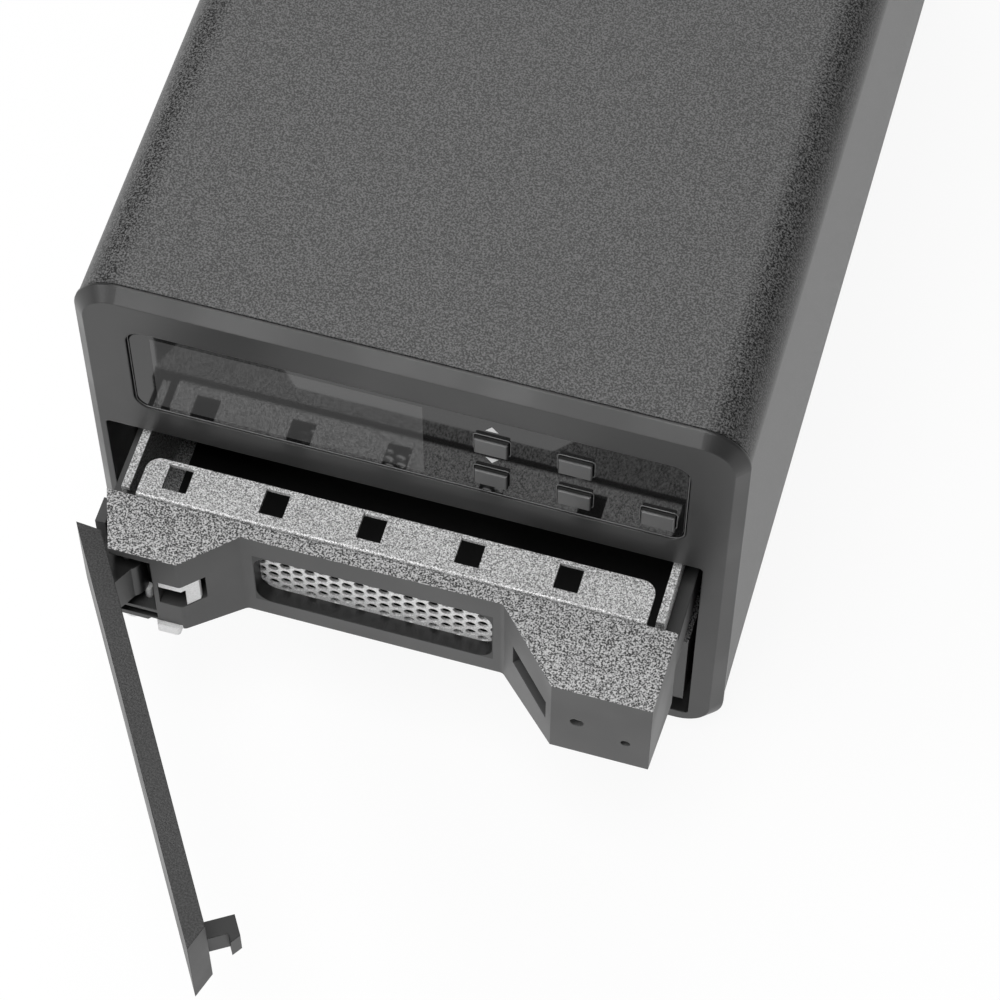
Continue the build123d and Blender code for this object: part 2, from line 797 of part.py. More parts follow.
# Power switch: a framed housing in the rear panel and the rocker that tilts in it
housing_w = rocker_w + 2 * rocker_frame_t
housing_h = rocker_h + 2 * rocker_frame_t
with BuildPart() as switch_housing:
    with BuildSketch(front_plane(rear_y + rocker_frame_t)):
        with Locations((rocker_x, rocker_z)):
            Rectangle(housing_w + 2 * rocker_frame, housing_h + 2 * rocker_frame)
    extrude(amount=rocker_frame_t)
    with BuildSketch(front_plane(rear_y)):
        with Locations((rocker_x, rocker_z)):
            Rectangle(housing_w - 2 * pipe_gap, housing_h - 2 * pipe_gap)
    extrude(amount=rocker_depth)
    with BuildSketch(front_plane(rear_y + rocker_frame_t)):
        with Locations((rocker_x, rocker_z)):
            Rectangle(rocker_w, rocker_h)
    extrude(amount=rocker_depth - rocker_frame_t, mode=Mode.SUBTRACT)
    with BuildSketch(Plane.YZ.offset(rocker_x - rocker_w / 2 - rocker_frame_t / 2)):
        with Locations((rear_y - rocker_h / 4, rocker_z)):
            Circle(rocker_pivot_r)
    extrude(amount=rocker_w + rocker_frame_t)
save(switch_housing.part, "switch_housing")

# The rocker's top is two flats in a shallow V, one of them pressed in at rest
rocker_pivot_y = rear_y - rocker_h / 4
rocker_half = rocker_h / 2 - rocker_gap
rocker_face = rear_y + rocker_frame_t / 2
with BuildPart() as power_rocker:
    with BuildSketch(Plane.YZ.offset(rocker_x - rocker_w / 2 + rocker_gap)) as rocker_side:
        with BuildLine():
            Polyline((rocker_face - rocker_h / 5, rocker_z - rocker_half),
                     (rocker_face - rocker_h / 16, rocker_z),
                     (rocker_face, rocker_z + rocker_half - rocker_gap),
                     (rocker_pivot_y - rocker_pivot_r * 2, rocker_z + rocker_half / 2),
                     (rocker_pivot_y - rocker_pivot_r * 2, rocker_z - rocker_half / 2),
                     close=True)
        make_face()
        with Locations((rocker_pivot_y, rocker_z)):
            Circle(rocker_pivot_r + rocker_pivot_gap, mode=Mode.SUBTRACT)
    extrude(amount=rocker_w - 2 * rocker_gap)
save(power_rocker.part, "power_rocker")

with BuildPart() as rear_screws:
    screw_x = rear_w / 2 - rear_r
    screw_z = rear_h / 2 - rear_r
    with BuildSketch(front_plane(rear_y + screw_head_t)):
        with Locations((0, body_z)):
            with GridLocations(2 * screw_x, 2 * screw_z, 2, 2):
                RegularPolygon(rear_screw_r, 6)
    extrude(amount=screw_head_t)
save(rear_screws.part, "rear_screws")


# Tray pieces, each drawn in the tray's own frame: y is 0 at the front of the right block,
# z is 0 at the underside of the tray
slant_run = right_front_x - recess_right_x
wall_front = block_depth - wall_t
slant_len = hypot(slant_run, wall_front)
slant_turn = degrees(atan2(wall_front, slant_run))
slant_shift = block_wall * slant_len / wall_front
left_slope = (wall_front - lever_recess) / (recess_left_x - left_slant_x)
grille_x = (recess_left_x + recess_right_x) / 2
grille_w = recess_right_x - recess_left_x - 2 * grille_side
grille_h = tray_h - grille_low - grille_over
grille_z = grille_low + grille_h / 2
lights = [(tray_half - led_large_side, tray_h - led_large_drop, led_large_r),
          (tray_half - led_small_side, tray_h - led_small_drop, led_small_r)]
spring_window_left = pocket_right_x + window_from_pocket
spring_window_right = left_slant_x + window_past_slant
toe_reach = hypot(toe_to, toe_front)

# The heel's back corner with the lever swung right out, and the trim line that clears it
full_swing = radians(lever_max)
heel_x = pivot_x + (lever_end_left - heel) * cos(full_swing) + (lever_t - pivot_y) * sin(full_swing)
heel_y = pivot_y - (lever_end_left - heel) * sin(full_swing) + (lever_t - pivot_y) * cos(full_swing)
trim_x = left_cut_x + (heel_x + heel_gap - left_cut_x) * (block_depth - left_cut_y) / (heel_y - left_cut_y)

with BuildPart() as tray_front:
    with BuildSketch(Plane.XY) as block_plan:
        with BuildLine():
            Polyline((-tray_half, block_depth), (-tray_half, left_wall_y), (left_cut_x, left_cut_y),
                     (left_front_x, lever_recess), (left_slant_x, lever_recess),
                     (recess_left_x, wall_front), (recess_right_x, wall_front), (right_front_x, 0),
                     (tray_half - front_taper, 0), (tray_half, block_depth), close=True)
        make_face()
        fillet(block_plan.vertices().filter_by_position(Axis.X, left_slant_x, recess_right_x), tray_edge_r)
    extrude(amount=tray_h)
    # the underside rises towards the front
    with BuildSketch(Plane.YZ.offset(-tray_half)):
        with BuildLine():
            Polyline((0, 0), (slope_run, 0), (0, front_rise), close=True)
        make_face()
    extrude(amount=tray_w, mode=Mode.SUBTRACT)
    # the top skin and the ledge are trimmed back for the lever's heel
    for trim_low, trim_high in ((0, pocket_floor), (tray_h - skin_cut, tray_h)):
        with BuildSketch(Plane.XY.offset(trim_low)):
            with BuildLine():
                Polyline((-tray_half, block_depth), (-tray_half, left_wall_y), (left_cut_x, left_cut_y),
                         (trim_x, block_depth), close=True)
            make_face()
        extrude(amount=trim_high - trim_low, mode=Mode.SUBTRACT)
    # open pocket for the lever's hub
    with BuildSketch(Plane.XY.offset(pocket_floor)):
        with BuildLine():
            Polyline((-tray_half, lever_recess), (pocket_right_x, lever_recess),
                     (pocket_right_x, block_depth - pocket_back),
                     (block_wall - tray_half, block_depth - pocket_back),
                     (block_wall - tray_half, left_wall_y), (-tray_half, left_wall_y), close=True)
        make_face()
    extrude(amount=tray_h - skin_t - pocket_floor, mode=Mode.SUBTRACT)
    # hollow right block, open at the back
    with BuildSketch(Plane.XY.offset(front_rise + block_wall)):
        with BuildLine():
            Polyline((recess_right_x + slant_shift - wall_t * slant_run / wall_front, block_depth),
                     (right_front_x + slant_shift - block_wall * slant_run / wall_front, block_wall),
                     (tray_half - front_taper - block_wall, block_wall),
                     (tray_half - block_wall, block_depth), close=True)
        make_face()
    extrude(amount=tray_h - front_rise - skin_t - block_wall, mode=Mode.SUBTRACT)
    # window for the grille, light holes, and the slot that takes the lever's hook
    with BuildSketch(front_plane(wall_front)):
        with Locations((grille_x, grille_z)):
            RectangleRounded(grille_w, grille_h, grille_r)
    extrude(amount=-wall_t, mode=Mode.SUBTRACT)
    with BuildSketch(front_plane(0)):
        for light_x, light_z, light_r in lights:
            with Locations((light_x, light_z)):
                Circle(light_r)
    extrude(amount=-block_wall, mode=Mode.SUBTRACT)
    catch_mid = (catch_from + catch_to) / 2
    catch_plane = Plane(origin=(recess_right_x + catch_mid * cos(radians(slant_turn)),
                                wall_front - catch_mid * sin(radians(slant_turn)),
                                (catch_low + catch_high) / 2),
                        x_dir=(cos(radians(slant_turn)), -sin(radians(slant_turn)), 0),
                        z_dir=(-sin(radians(slant_turn)), -cos(radians(slant_turn)), 0))
    with BuildSketch(catch_plane):
        Rectangle(catch_to - catch_from, catch_high - catch_low)
    extrude(amount=-block_wall, mode=Mode.SUBTRACT)
    # window over the latch spring and the narrow slot in the ledge under the hub
    with BuildSketch(Plane.XY.offset(spring_window_low)):
        with BuildLine():
            Polyline((spring_window_left, lever_recess), (left_slant_x, lever_recess),
                     (spring_window_right, lever_recess + window_past_slant * left_slope),
                     (spring_window_right, spring_window_back),
                     (spring_window_left, spring_window_back), close=True)
        make_face()
    extrude(amount=spring_window_high - spring_window_low, mode=Mode.SUBTRACT)
    ledge_slot_left = left_front_x + ledge_slot_end
    with BuildSketch(Plane.XY.offset(ledge_slot_low)):
        with Locations(((ledge_slot_left + pocket_right_x) / 2, lever_recess + ledge_slot_depth / 2)):
            Rectangle(pocket_right_x - ledge_slot_left, ledge_slot_depth)
    extrude(amount=ledge_slot_h, mode=Mode.SUBTRACT)
    # room for the sweep of the toe and of its arm, and the bore for the hinge pin
    with BuildSketch(Plane.XY):
        with Locations((pivot_x, pivot_y)):
            RegularPolygon(toe_reach + cam_gap, room_sides, major_radius=False)
            RegularPolygon(toe_from - cam_gap, room_sides, mode=Mode.SUBTRACT)
            with Locations((-toe_reach, 0)):
                Rectangle(2 * toe_reach, 4 * toe_reach, mode=Mode.SUBTRACT)
    extrude(amount=toe_high + cam_gap, mode=Mode.SUBTRACT)
    with BuildSketch(Plane.XY):
        with Locations((pivot_x, pivot_y)):
            RegularPolygon(toe_from, room_sides)
    extrude(amount=cam_low + cam_t + cam_gap, mode=Mode.SUBTRACT)
    with BuildSketch(Plane.XY.offset(cam_low + cam_t)):
        with Locations((pivot_x, pivot_y)):
            Circle(pin_r + pin_gap)
    extrude(amount=tray_h - skin_t / 2 - cam_low - cam_t, mode=Mode.SUBTRACT)

column_step = grille_pitch * sin(radians(60))
column_count = 2 * int(grille_w / 2 / column_step) - 1
with BuildPart() as tray_grille:
    with BuildSketch(front_plane(block_depth)):
        with Locations((grille_x, grille_z)):
            Rectangle(grille_w + 2 * block_wall, grille_h + block_wall)
        for column in range(column_count):
            shift = column - (column_count - 1) / 2
            drop = grille_pitch / 2 if column % 2 else 0.0
            with Locations((grille_x + shift * column_step, grille_z - drop / 2 + grille_pitch / 4)):
                with GridLocations(0, grille_pitch, 1, grille_rows):
                    RegularPolygon(grille_hole / 2, 4, mode=Mode.SUBTRACT)
    extrude(amount=-grille_sheet_t)

square_count = 1 + int((bracket_w - 2 * square_end) / square_pitch)
with BuildPart() as tray_bracket:
    with BuildSketch(Plane.YZ.offset(-bracket_w / 2)):
        with BuildLine():
            Polyline((bracket_front, bracket_low), (bracket_front, bracket_top),
                     (bracket_front + bracket_depth, bracket_top),
                     (bracket_front + bracket_depth, bracket_top - sheet_t),
                     (bracket_front + sheet_t, bracket_top - sheet_t),
                     (bracket_front + sheet_t, bracket_low), close=True)
        make_face()
    extrude(amount=bracket_w)
    fillet(tray_bracket.edges().group_by(Axis.Z)[-1].sort_by(Axis.Y)[0], bracket_bend)
    fillet(tray_bracket.edges().filter_by(Axis.Z).group_by(Axis.Y)[-1], bracket_corner)
    with BuildSketch(Plane.XY.offset(bracket_top - sheet_t)):
        with Locations((square_offset, bracket_front + square_inset + square_d / 2)):
            with GridLocations(square_pitch, 0, square_count, 1):
                Rectangle(square_w, square_d)
    extrude(amount=sheet_t, mode=Mode.SUBTRACT)
    with BuildSketch(front_plane(bracket_front)):
        with Locations((grille_x, grille_z)):
            Rectangle(grille_w, grille_h)
    extrude(amount=-sheet_t, mode=Mode.SUBTRACT)

frame_h = frame_top - frame_base_z
with BuildPart() as tray_frame:
    with BuildSketch(front_plane(frame_front)):
        with Locations((0, frame_base_z + frame_h / 2)):
            Rectangle(frame_w, frame_h)
        with Locations((0, frame_base_z + sheet_t + frame_h / 2)):
            Rectangle(frame_w - 2 * sheet_t, frame_h, mode=Mode.SUBTRACT)
        for side in (-1, 1):
            with Locations((side * (frame_w / 2 - frame_hem / 2), frame_top - sheet_t / 2)):
                Rectangle(frame_hem, sheet_t)
    extrude(amount=-frame_len)
    with BuildSketch(Plane.YZ.offset(-frame_w / 2)):
        with BuildLine():
            Polyline((frame_front + frame_cheek, frame_top), (frame_front + frame_len, frame_top),
                     (frame_front + frame_len, frame_base_z + frame_low_h),
                     (frame_front + frame_cheek + frame_low_h, frame_base_z + frame_low_h), close=True)
        make_face()
    extrude(amount=frame_w, mode=Mode.SUBTRACT)

runner_t = guide_out - guide_web - runner_gap - frame_w / 2
with BuildPart() as tray_runners:
    for side in (-1, 1):
        with BuildSketch(front_plane(block_depth)):
            with Locations((side * (frame_w / 2 + runner_t / 2), runner_z + runner_h / 2)):
                Rectangle(runner_t, runner_h)
        extrude(amount=-frame_len)

with BuildPart() as light_pipes:
    for light_x, light_z, light_r in lights:
        with BuildSketch(front_plane(led_recess)):
            with Locations((light_x, light_z)):
                Circle(light_r - pipe_gap)
        extrude(amount=led_recess - block_depth)

# Latch spring: its blade follows the block's face and slant just behind the window's upper
# edge, a tab runs down its far end, and its foot stands in the pocket beside the hub
blade_top = spring_window_high - spring_gap
blade_y = lever_recess + spring_behind
blade_left = spring_window_left + spring_gap
blade_right = spring_window_right - spring_tab / 2
tab_left = blade_right - spring_tab
with BuildPart() as latch_spring:
    for x_from, drop in ((blade_left, spring_bar), (tab_left, blade_top - spring_window_low - spring_gap)):
        with BuildSketch(Plane.XY.offset(blade_top - drop)) as blade_plan:
            with BuildLine():
                Polyline((blade_left, blade_y), (left_slant_x, blade_y),
                         (blade_right, blade_y + (blade_right - left_slant_x) * left_slope),
                         (blade_right, blade_y + spring_t * 2 + (blade_right - left_slant_x) * left_slope),
                         (left_slant_x - spring_t, blade_y + spring_t), (blade_left, blade_y + spring_t),
                         close=True)
            make_face()
            with Locations(((x_from + blade_right) / 2, blade_y + spring_t)):
                Rectangle(blade_right - x_from, block_depth, mode=Mode.INTERSECT)
        extrude(amount=drop)
    with BuildSketch(Plane.XY.offset(pocket_floor + spring_gap)):
        with Locations((pivot_x + hub_r + spring_gap, pivot_y)):
            Circle(spring_leg_r)
    extrude(amount=hub_low - pocket_floor - 2 * spring_gap - pin_gap)

# Hinge pin, which stands on its cam and turns with the lever
with BuildPart() as lever_pin:
    with BuildSketch(Plane.XY.offset(cam_low + cam_t)):
        with Locations((pivot_x, pivot_y)):
            Circle(pin_r)
    extrude(amount=tray_h - skin_t / 2 - cam_low - cam_t - pin_gap)

with BuildPart() as lever_cam:
    with BuildSketch(Plane(origin=(pivot_x, pivot_y, cam_low))):
        with BuildLine():
            Polyline((0, -cam_arm), (toe_from, -cam_arm), (toe_from, cam_arm / 2), (0, cam_arm), close=True)
        make_face()
        Circle(cam_hub_r)
    extrude(amount=cam_t)
    with BuildSketch(Plane(origin=(pivot_x, pivot_y, toe_low))) as toe_plan:
        with BuildLine():
            Polyline((toe_from, -toe_front / 2), (toe_from + toe_back, -toe_front), (toe_to, -toe_front),
                     (toe_to, -toe_back), (toe_from, -toe_back), close=True)
        make_face()
        fillet(toe_plan.vertices().group_by(Axis.X)[-1], toe_back)
    extrude(amount=toe_high - toe_low)

# Lever: a bar with slanted ends, a hub on the pin and a hook near its tip
hub_high = tray_h - hub_drop
with BuildPart() as lever:
    with BuildSketch(Plane.XY.offset(lever_low)):
        with BuildLine():
            Polyline((lever_left_x, 0), (lever_tip_x, 0), (lever_tip_x - lever_end_right, lever_t),
                     (lever_left_x + lever_end_left, lever_t), close=True)
        make_face()
    extrude(amount=lever_high - lever_low)
    with BuildSketch(Plane.XY.offset(hub_low)):
        with BuildLine():
            Polyline((pivot_x - hub_r, lever_t / 2), (pivot_x + hub_root, lever_t / 2),
                     (pivot_x + hub_r, pivot_y), (pivot_x - hub_r, pivot_y), close=True)
        make_face()
        with Locations((pivot_x, pivot_y)):
            Circle(hub_r)
    extrude(amount=hub_high - hub_low)
    with BuildSketch(Plane.XY.offset(catch_low + hook_gap)) as hook_plan:
        hook_x = lever_tip_x - hook_from_tip
        hook_far = lever_t + hook_reach
        with BuildLine():
            Polyline((hook_x, lever_t / 2), (hook_x, hook_far), (hook_x + hook_t + hook_tip / 2, hook_far),
                     (hook_x + hook_t + hook_tip, hook_far - hook_reach / 3),
                     (hook_x + hook_t, hook_far - hook_reach / 3), (hook_x + hook_t, lever_t / 2),
                     close=True)
        make_face()
    extrude(amount=catch_high - catch_low - 2 * hook_gap)
    with BuildSketch(Plane.XY.offset(hub_low)):
        with Locations((pivot_x, pivot_y)):
            Circle(pin_r + pin_gap)
    extrude(amount=hub_high - hub_low, mode=Mode.SUBTRACT)

for tray_name, place in tray_places():
    save(place * tray_front.part, f"{tray_name}_tray_front")
    save(place * tray_grille.part, f"{tray_name}_tray_grille")
    save(place * tray_bracket.part, f"{tray_name}_tray_bracket")
    save(place * tray_frame.part, f"{tray_name}_tray_frame")
    save(place * tray_runners.part, f"{tray_name}_tray_runners")
    save(place * light_pipes.part, f"{tray_name}_light_pipes")
    save(place * latch_spring.part, f"{tray_name}_latch_spring")

# The upper lever stands open about its pin, the lower one is closed
pivot_place = Location((pivot_x, pivot_y, 0))
lever_turn = pivot_place * Location((0, 0, 0), (0, 0, -lever_open)) * pivot_place.inverse()
(upper_name, upper_place), (lower_name, lower_place) = tray_places()
rest_turn = pivot_place * Location((0, 0, 0), (0, 0, lever_open)) * pivot_place.inverse()
for tray_name, place in ((upper_name, upper_place * lever_turn), (lower_name, lower_place)):
    save(place * lever.part, f"{tray_name}_lever")
    save(place * lever_pin.part, f"{tray_name}_lever_pin")
    save(place * rest_turn * lever_cam.part, f"{tray_name}_lever_cam")

# Hard disk in the lower tray: cast base with its socket recess, and a pressed lid
with BuildPart() as disk_base:
    with BuildSketch(Plane.XY.offset(disk_z)):
        with Locations((0, disk_y + disk_len / 2)):
            RectangleRounded(disk_w, disk_len, disk_corner)
    extrude(amount=disk_h - disk_lid_t)
    with BuildSketch(front_plane(disk_y + disk_len)):
        with Locations((0, disk_z + socket_z)):
            Rectangle(disk_socket_w, disk_socket_h)
    extrude(amount=disk_socket_d, mode=Mode.SUBTRACT)
save(lower_place * disk_base.part, "disk_base")

with BuildPart() as disk_lid:
    with BuildSketch(Plane.XY.offset(disk_z + disk_h - disk_lid_t)):
        with Locations((0, disk_y + disk_len / 2)):
            RectangleRounded(disk_w - 2 * disk_lid_t, disk_len - 2 * disk_lid_t, disk_corner)
    extrude(amount=disk_lid_t)
save(lower_place * disk_lid.part, "disk_lid")
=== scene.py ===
"""Looks of a two bay desktop disk array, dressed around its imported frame.

Lengths are in metres unless a name ends in _mm. The frame has +Z up and the array faces -Y.
"""

import json
import logging
import math
from collections.abc import Mapping, Sequence
from dataclasses import dataclass, field
from enum import Enum
from typing import ClassVar

import bmesh
import bpy
from mathutils import Matrix, Vector

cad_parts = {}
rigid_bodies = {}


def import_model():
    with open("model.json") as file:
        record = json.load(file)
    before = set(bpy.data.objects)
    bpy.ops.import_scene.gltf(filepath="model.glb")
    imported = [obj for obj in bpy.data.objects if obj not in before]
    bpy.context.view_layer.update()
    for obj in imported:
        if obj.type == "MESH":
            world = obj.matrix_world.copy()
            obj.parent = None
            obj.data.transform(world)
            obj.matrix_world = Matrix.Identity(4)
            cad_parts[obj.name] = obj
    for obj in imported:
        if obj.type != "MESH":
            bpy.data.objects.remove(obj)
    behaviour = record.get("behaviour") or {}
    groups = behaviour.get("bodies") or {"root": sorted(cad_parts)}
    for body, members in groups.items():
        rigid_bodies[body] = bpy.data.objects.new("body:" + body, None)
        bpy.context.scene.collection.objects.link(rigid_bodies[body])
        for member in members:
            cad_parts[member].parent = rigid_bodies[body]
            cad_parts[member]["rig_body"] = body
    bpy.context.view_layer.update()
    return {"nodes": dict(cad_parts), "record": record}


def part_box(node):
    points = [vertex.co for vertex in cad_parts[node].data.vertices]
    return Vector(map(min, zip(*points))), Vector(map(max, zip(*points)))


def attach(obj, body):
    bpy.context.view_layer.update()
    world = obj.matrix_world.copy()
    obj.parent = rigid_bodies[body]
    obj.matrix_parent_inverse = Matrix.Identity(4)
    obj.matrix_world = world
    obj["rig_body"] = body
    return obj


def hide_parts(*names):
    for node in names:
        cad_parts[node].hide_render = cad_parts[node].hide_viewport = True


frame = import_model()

Colour = tuple[float, float, float]
log = logging.getLogger("disk_array")

MM = 0.001

TRAYS = ("upper", "lower")

# The box of painted shade on the walls of a tray's grille opening, from the sheet's box: its frame
# and its depth
OPENING_FRAME = Vector((2.0, 0.0, 0.95)) * MM
OPENING_DEPTH = Vector((0.0, 17.0, 0.0)) * MM

# The painted shade under a tray's bracket: its wall, its sheet and how far back it goes
BRACKET_WALL = Vector((1.0, 0.8, 0.0)) * MM
BRACKET_SHEET = 1.1 * MM
BEHIND_BRACKET = 24.0 * MM

# The display's patch in the window: its side border and how far in front and behind it reaches
PATCH_BORDER = 3.5 * MM
PATCH_DEPTH = 1.0 * MM


def grey(level: float) -> Colour:
    """Returns a linear grey."""
    return (level, level, level)


class Wire:
    """One output of a node tree. Arithmetic on it adds Math nodes."""

    def __init__(self, bench: "Bench", socket: bpy.types.NodeSocket) -> None:
        """Keeps the tree and the output."""
        self.bench = bench
        self.socket = socket

    def _math(self, operation: str, *operands: "Wire | float") -> "Wire":
        """Adds one Math node fed by the operands."""
        node = self.bench.add("ShaderNodeMath", {"operation": operation}, dict(enumerate(operands)))
        return Wire(self.bench, node.outputs[0])

    def __add__(self, other: "Wire | float") -> "Wire":
        """Adds two values."""
        return self._math("ADD", self, other)

    def __sub__(self, other: "Wire | float") -> "Wire":
        """Takes a value from this wire."""
        return self._math("SUBTRACT", self, other)

    def __mul__(self, other: "Wire | float") -> "Wire":
        """Multiplies two values."""
        return self._math("MULTIPLY", self, other)

    def __gt__(self, other: "Wire | float") -> "Wire":
        """Gives 1 where this wire is above the other value."""
        return self._math("GREATER_THAN", self, other)

    def __lt__(self, other: "Wire | float") -> "Wire":
        """Gives 1 where this wire is below the other value."""
        return self._math("LESS_THAN", self, other)

    def __abs__(self) -> "Wire":
        """Drops the sign."""
        return self._math("ABSOLUTE", self)

    def ramp(self, low: float, high: float, at_low: float = 0.0, at_high: float = 1.0) -> "Wire":
        """Maps a stretch of values smoothly onto another.

        Args:
            low: the value that gives at_low.
            high: the value that gives at_high.
            at_low: result at and below low.
            at_high: result at and above high.

        Returns:
            The mapped value.
        """
        node = self.bench.add(
            "ShaderNodeMapRange", {"interpolation_type": "SMOOTHSTEP"},
            {"Value": self, "From Min": low, "From Max": high, "To Min": at_low, "To Max": at_high})
        return Wire(self.bench, node.outputs[0])


class Bench:
    """A node tree on which a finish or a pattern is put together."""

    def __init__(self, tree: bpy.types.NodeTree) -> None:
        """Keeps the tree that nodes are added to."""
        self.tree = tree

    def add(self, kind: str, settings: Mapping[str, object] | None = None,
            inputs: Mapping[str | int, object] | None = None) -> bpy.types.Node:
        """Adds one node.

        Args:
            kind: the node's type name.
            settings: the node's own properties, set before its inputs.
            inputs: values or wires, by the input's name or number.

        Returns:
            The new node.
        """
        node = self.tree.nodes.new(kind)
        for name, value in (settings or {}).items():
            setattr(node, name, value)
        for key, value in (inputs or {}).items():
            if isinstance(value, Wire):
                self.tree.links.new(value.socket, node.inputs[key])
            else:
                node.inputs[key].default_value = value
        return node

    def wire(self, node: bpy.types.Node, output: str | int = 0) -> Wire:
        """Returns one output of a node."""
        return Wire(self, node.outputs[output])

    def place(self) -> Wire:
        """Returns the point's place in the piece's own frame, which is the array's."""
        return self.wire(self.add("ShaderNodeTexCoord"), "Object")

    def axes(self) -> tuple[Wire, Wire, Wire]:
        """Returns the point's x, y and z."""
        node = self.add("ShaderNodeSeparateXYZ", inputs={0: self.place()})
        return self.wire(node, 0), self.wire(node, 1), self.wire(node, 2)

    def inside(self, low: Vector, high: Vector) -> Wire:
        """Gives 1 within a box whose sides lie along the axes, and 0 outside it."""
        share: Wire | None = None
        for wire, least, most in zip(self.axes(), low, high):
            span = (wire > least) * (wire < most)
            share = span if share is None else share * span
        return share

    def noise(self, size: float, detail: float = 2.0, roughness: float = 0.5) -> Wire:
        """Returns soft random values.

        Args:
            size: width of one grain, in metres.
            detail: how many finer layers are added.
            roughness: how strong those layers are.

        Returns:
            Values about 0.5.
        """
        scale = (1.0 / size,) * 3
        spread = self.add("ShaderNodeMapping", inputs={"Vector": self.place(), "Scale": scale})
        node = self.add("ShaderNodeTexNoise", inputs={
            "Vector": self.wire(spread), "Scale": 1.0, "Detail": detail, "Roughness": roughness})
        return self.wire(node, "Fac")

    def mix(self, share: Wire, first: Colour | Wire, second: Colour | Wire) -> Wire:
        """Blends two colours by a share from 0 to 1."""
        ends = [end if isinstance(end, Wire) else (*end, 1.0) for end in (first, second)]
        node = self.add("ShaderNodeMix", {"data_type": "RGBA"}, {0: share, 6: ends[0], 7: ends[1]})
        return self.wire(node, 2)

    def bump(self, height: Wire, distance: float, edge: float) -> Wire:
        """Turns heights into normals, with edges softened by a small radius."""
        return self.wire(self.add("ShaderNodeBump", inputs={
            "Height": height, "Distance": distance, "Strength": 1.0,
            "Normal": self.soft_edge(edge)}))

    def soft_edge(self, radius: float) -> Wire:
        """Returns normals that round off sharp edges by a small radius."""
        return self.wire(self.add("ShaderNodeBevel", {"samples": 4}, {"Radius": radius}))

    def principled(self, inputs: Mapping[str | int, object]) -> Wire:
        """Adds the surface shader and returns its output."""
        return self.wire(self.add("ShaderNodeBsdfPrincipled", inputs=inputs))


@dataclass(frozen=True)
class Finish:
    """A surface finish: a name, a main colour and how it catches light."""

    name: str
    colour: Colour
    roughness: float = 0.5
    drift: ClassVar[float] = 18.0 * MM

    def material(self) -> bpy.types.Material:
        """Returns the finish's material, made on first use."""
        made = bpy.data.materials.get(self.name)
        if made is None:
            made = bpy.data.materials.new(self.name)
            made.use_nodes = True
            made.node_tree.nodes.clear()
            bench = Bench(made.node_tree)
            bench.add("ShaderNodeOutputMaterial", inputs={"Surface": self.surface(bench)})
            made.diffuse_color = (*self.colour, 1.0)
        return made

    def surface(self, bench: Bench) -> Wire:
        """Builds the shader; each kind of finish has its own."""
        raise NotImplementedError


@dataclass(frozen=True)
class PowderCoat(Finish):
    """Fine grained paint: small pale flecks over a dark ground."""

    fleck: Colour = (0.2, 0.2, 0.2)
    grain: float = 0.42 * MM
    relief: float = 0.06 * MM
    edge: float = 0.3 * MM
    wave: ClassVar[float] = 40.0
    wave_share: ClassVar[float] = 0.15

    def surface(self, bench: Bench) -> Wire:
        """Builds the grain from two sizes of noise."""
        fine = bench.noise(self.grain, 2.0, 0.6)
        broad = bench.noise(self.grain * self.wave, 1.0)
        height = fine * (1.0 - self.wave_share) + broad * self.wave_share
        colour = bench.mix(fine.ramp(0.36, 0.68), self.colour, self.fleck)
        return bench.principled({
            "Base Color": colour, "Roughness": fine.ramp(0.35, 0.7, self.roughness - 0.08,
                                                         self.roughness + 0.1),
            "Normal": bench.bump(height, self.relief, self.edge)})


@dataclass(frozen=True)
class SatinPlastic(Finish):
    """Moulded plastic with a faint even texture and softened edges."""

    texture: float = 0.25 * MM
    relief: float = 0.006 * MM
    edge: float = 0.25 * MM

    def surface(self, bench: Bench) -> Wire:
        """Builds the faint texture and a slow drift in tone."""
        fine = bench.noise(self.texture, 1.0)
        drift = bench.noise(self.drift, 2.0)
        deep = tuple(part * 0.88 for part in self.colour)
        lit = tuple(part * 1.12 for part in self.colour)
        return bench.principled({
            "Base Color": bench.mix(drift, deep, lit),
            "Roughness": drift.ramp(0.3, 0.7, self.roughness - 0.04, self.roughness + 0.04),
            "Normal": bench.bump(fine, self.relief, self.edge)})


@dataclass(frozen=True)
class GrainedTop(Finish):
    """Moulded plastic: smooth faces, and a coarse grain on the flat top whose pale crests are
    painted light.
    """

    valley: Colour = (0.05, 0.05, 0.05)
    lit_crest: Colour = (0.3, 0.3, 0.3)
    shade: Colour = (0.006, 0.006, 0.006)
    tops: tuple[float, ...] = ()
    shaded_openings: tuple[tuple[Vector, Vector], ...] = ()
    brim: float = 0.06 * MM
    grain: float = 0.37 * MM
    relief: float = 0.07 * MM
    edge: float = 0.25 * MM

    def surface(self, bench: Bench) -> Wire:
        """Builds the grain, its crests painted light, where the surface lies level with one of the
        tops.
        """
        _, _, z = bench.axes()
        fine = bench.noise(self.grain, 2.0, 0.55)
        drift = bench.noise(self.drift, 2.0)
        level = abs(z - self.tops[0]) < self.brim
        for top in self.tops[1:]:
            level = level + (abs(z - top) < self.brim)
        # Painted light: the pale crests make the top lighter than the faces, as where the lamps fall
        # on it; the grain itself is the plastic's own.
        lit_grain = bench.mix(fine.ramp(0.36, 0.66), self.valley, self.lit_crest)
        colour = bench.mix(level, self.colour, lit_grain)
        # Painted shade: the walls of each grille opening are painted near black.
        for low, high in self.shaded_openings:
            colour = bench.mix(bench.inside(low, high), colour, self.shade)
        return bench.principled({
            "Base Color": colour,
            "Roughness": drift.ramp(0.3, 0.7, self.roughness - 0.04, self.roughness + 0.04),
            "Normal": bench.bump(fine * level, self.relief, self.edge)})


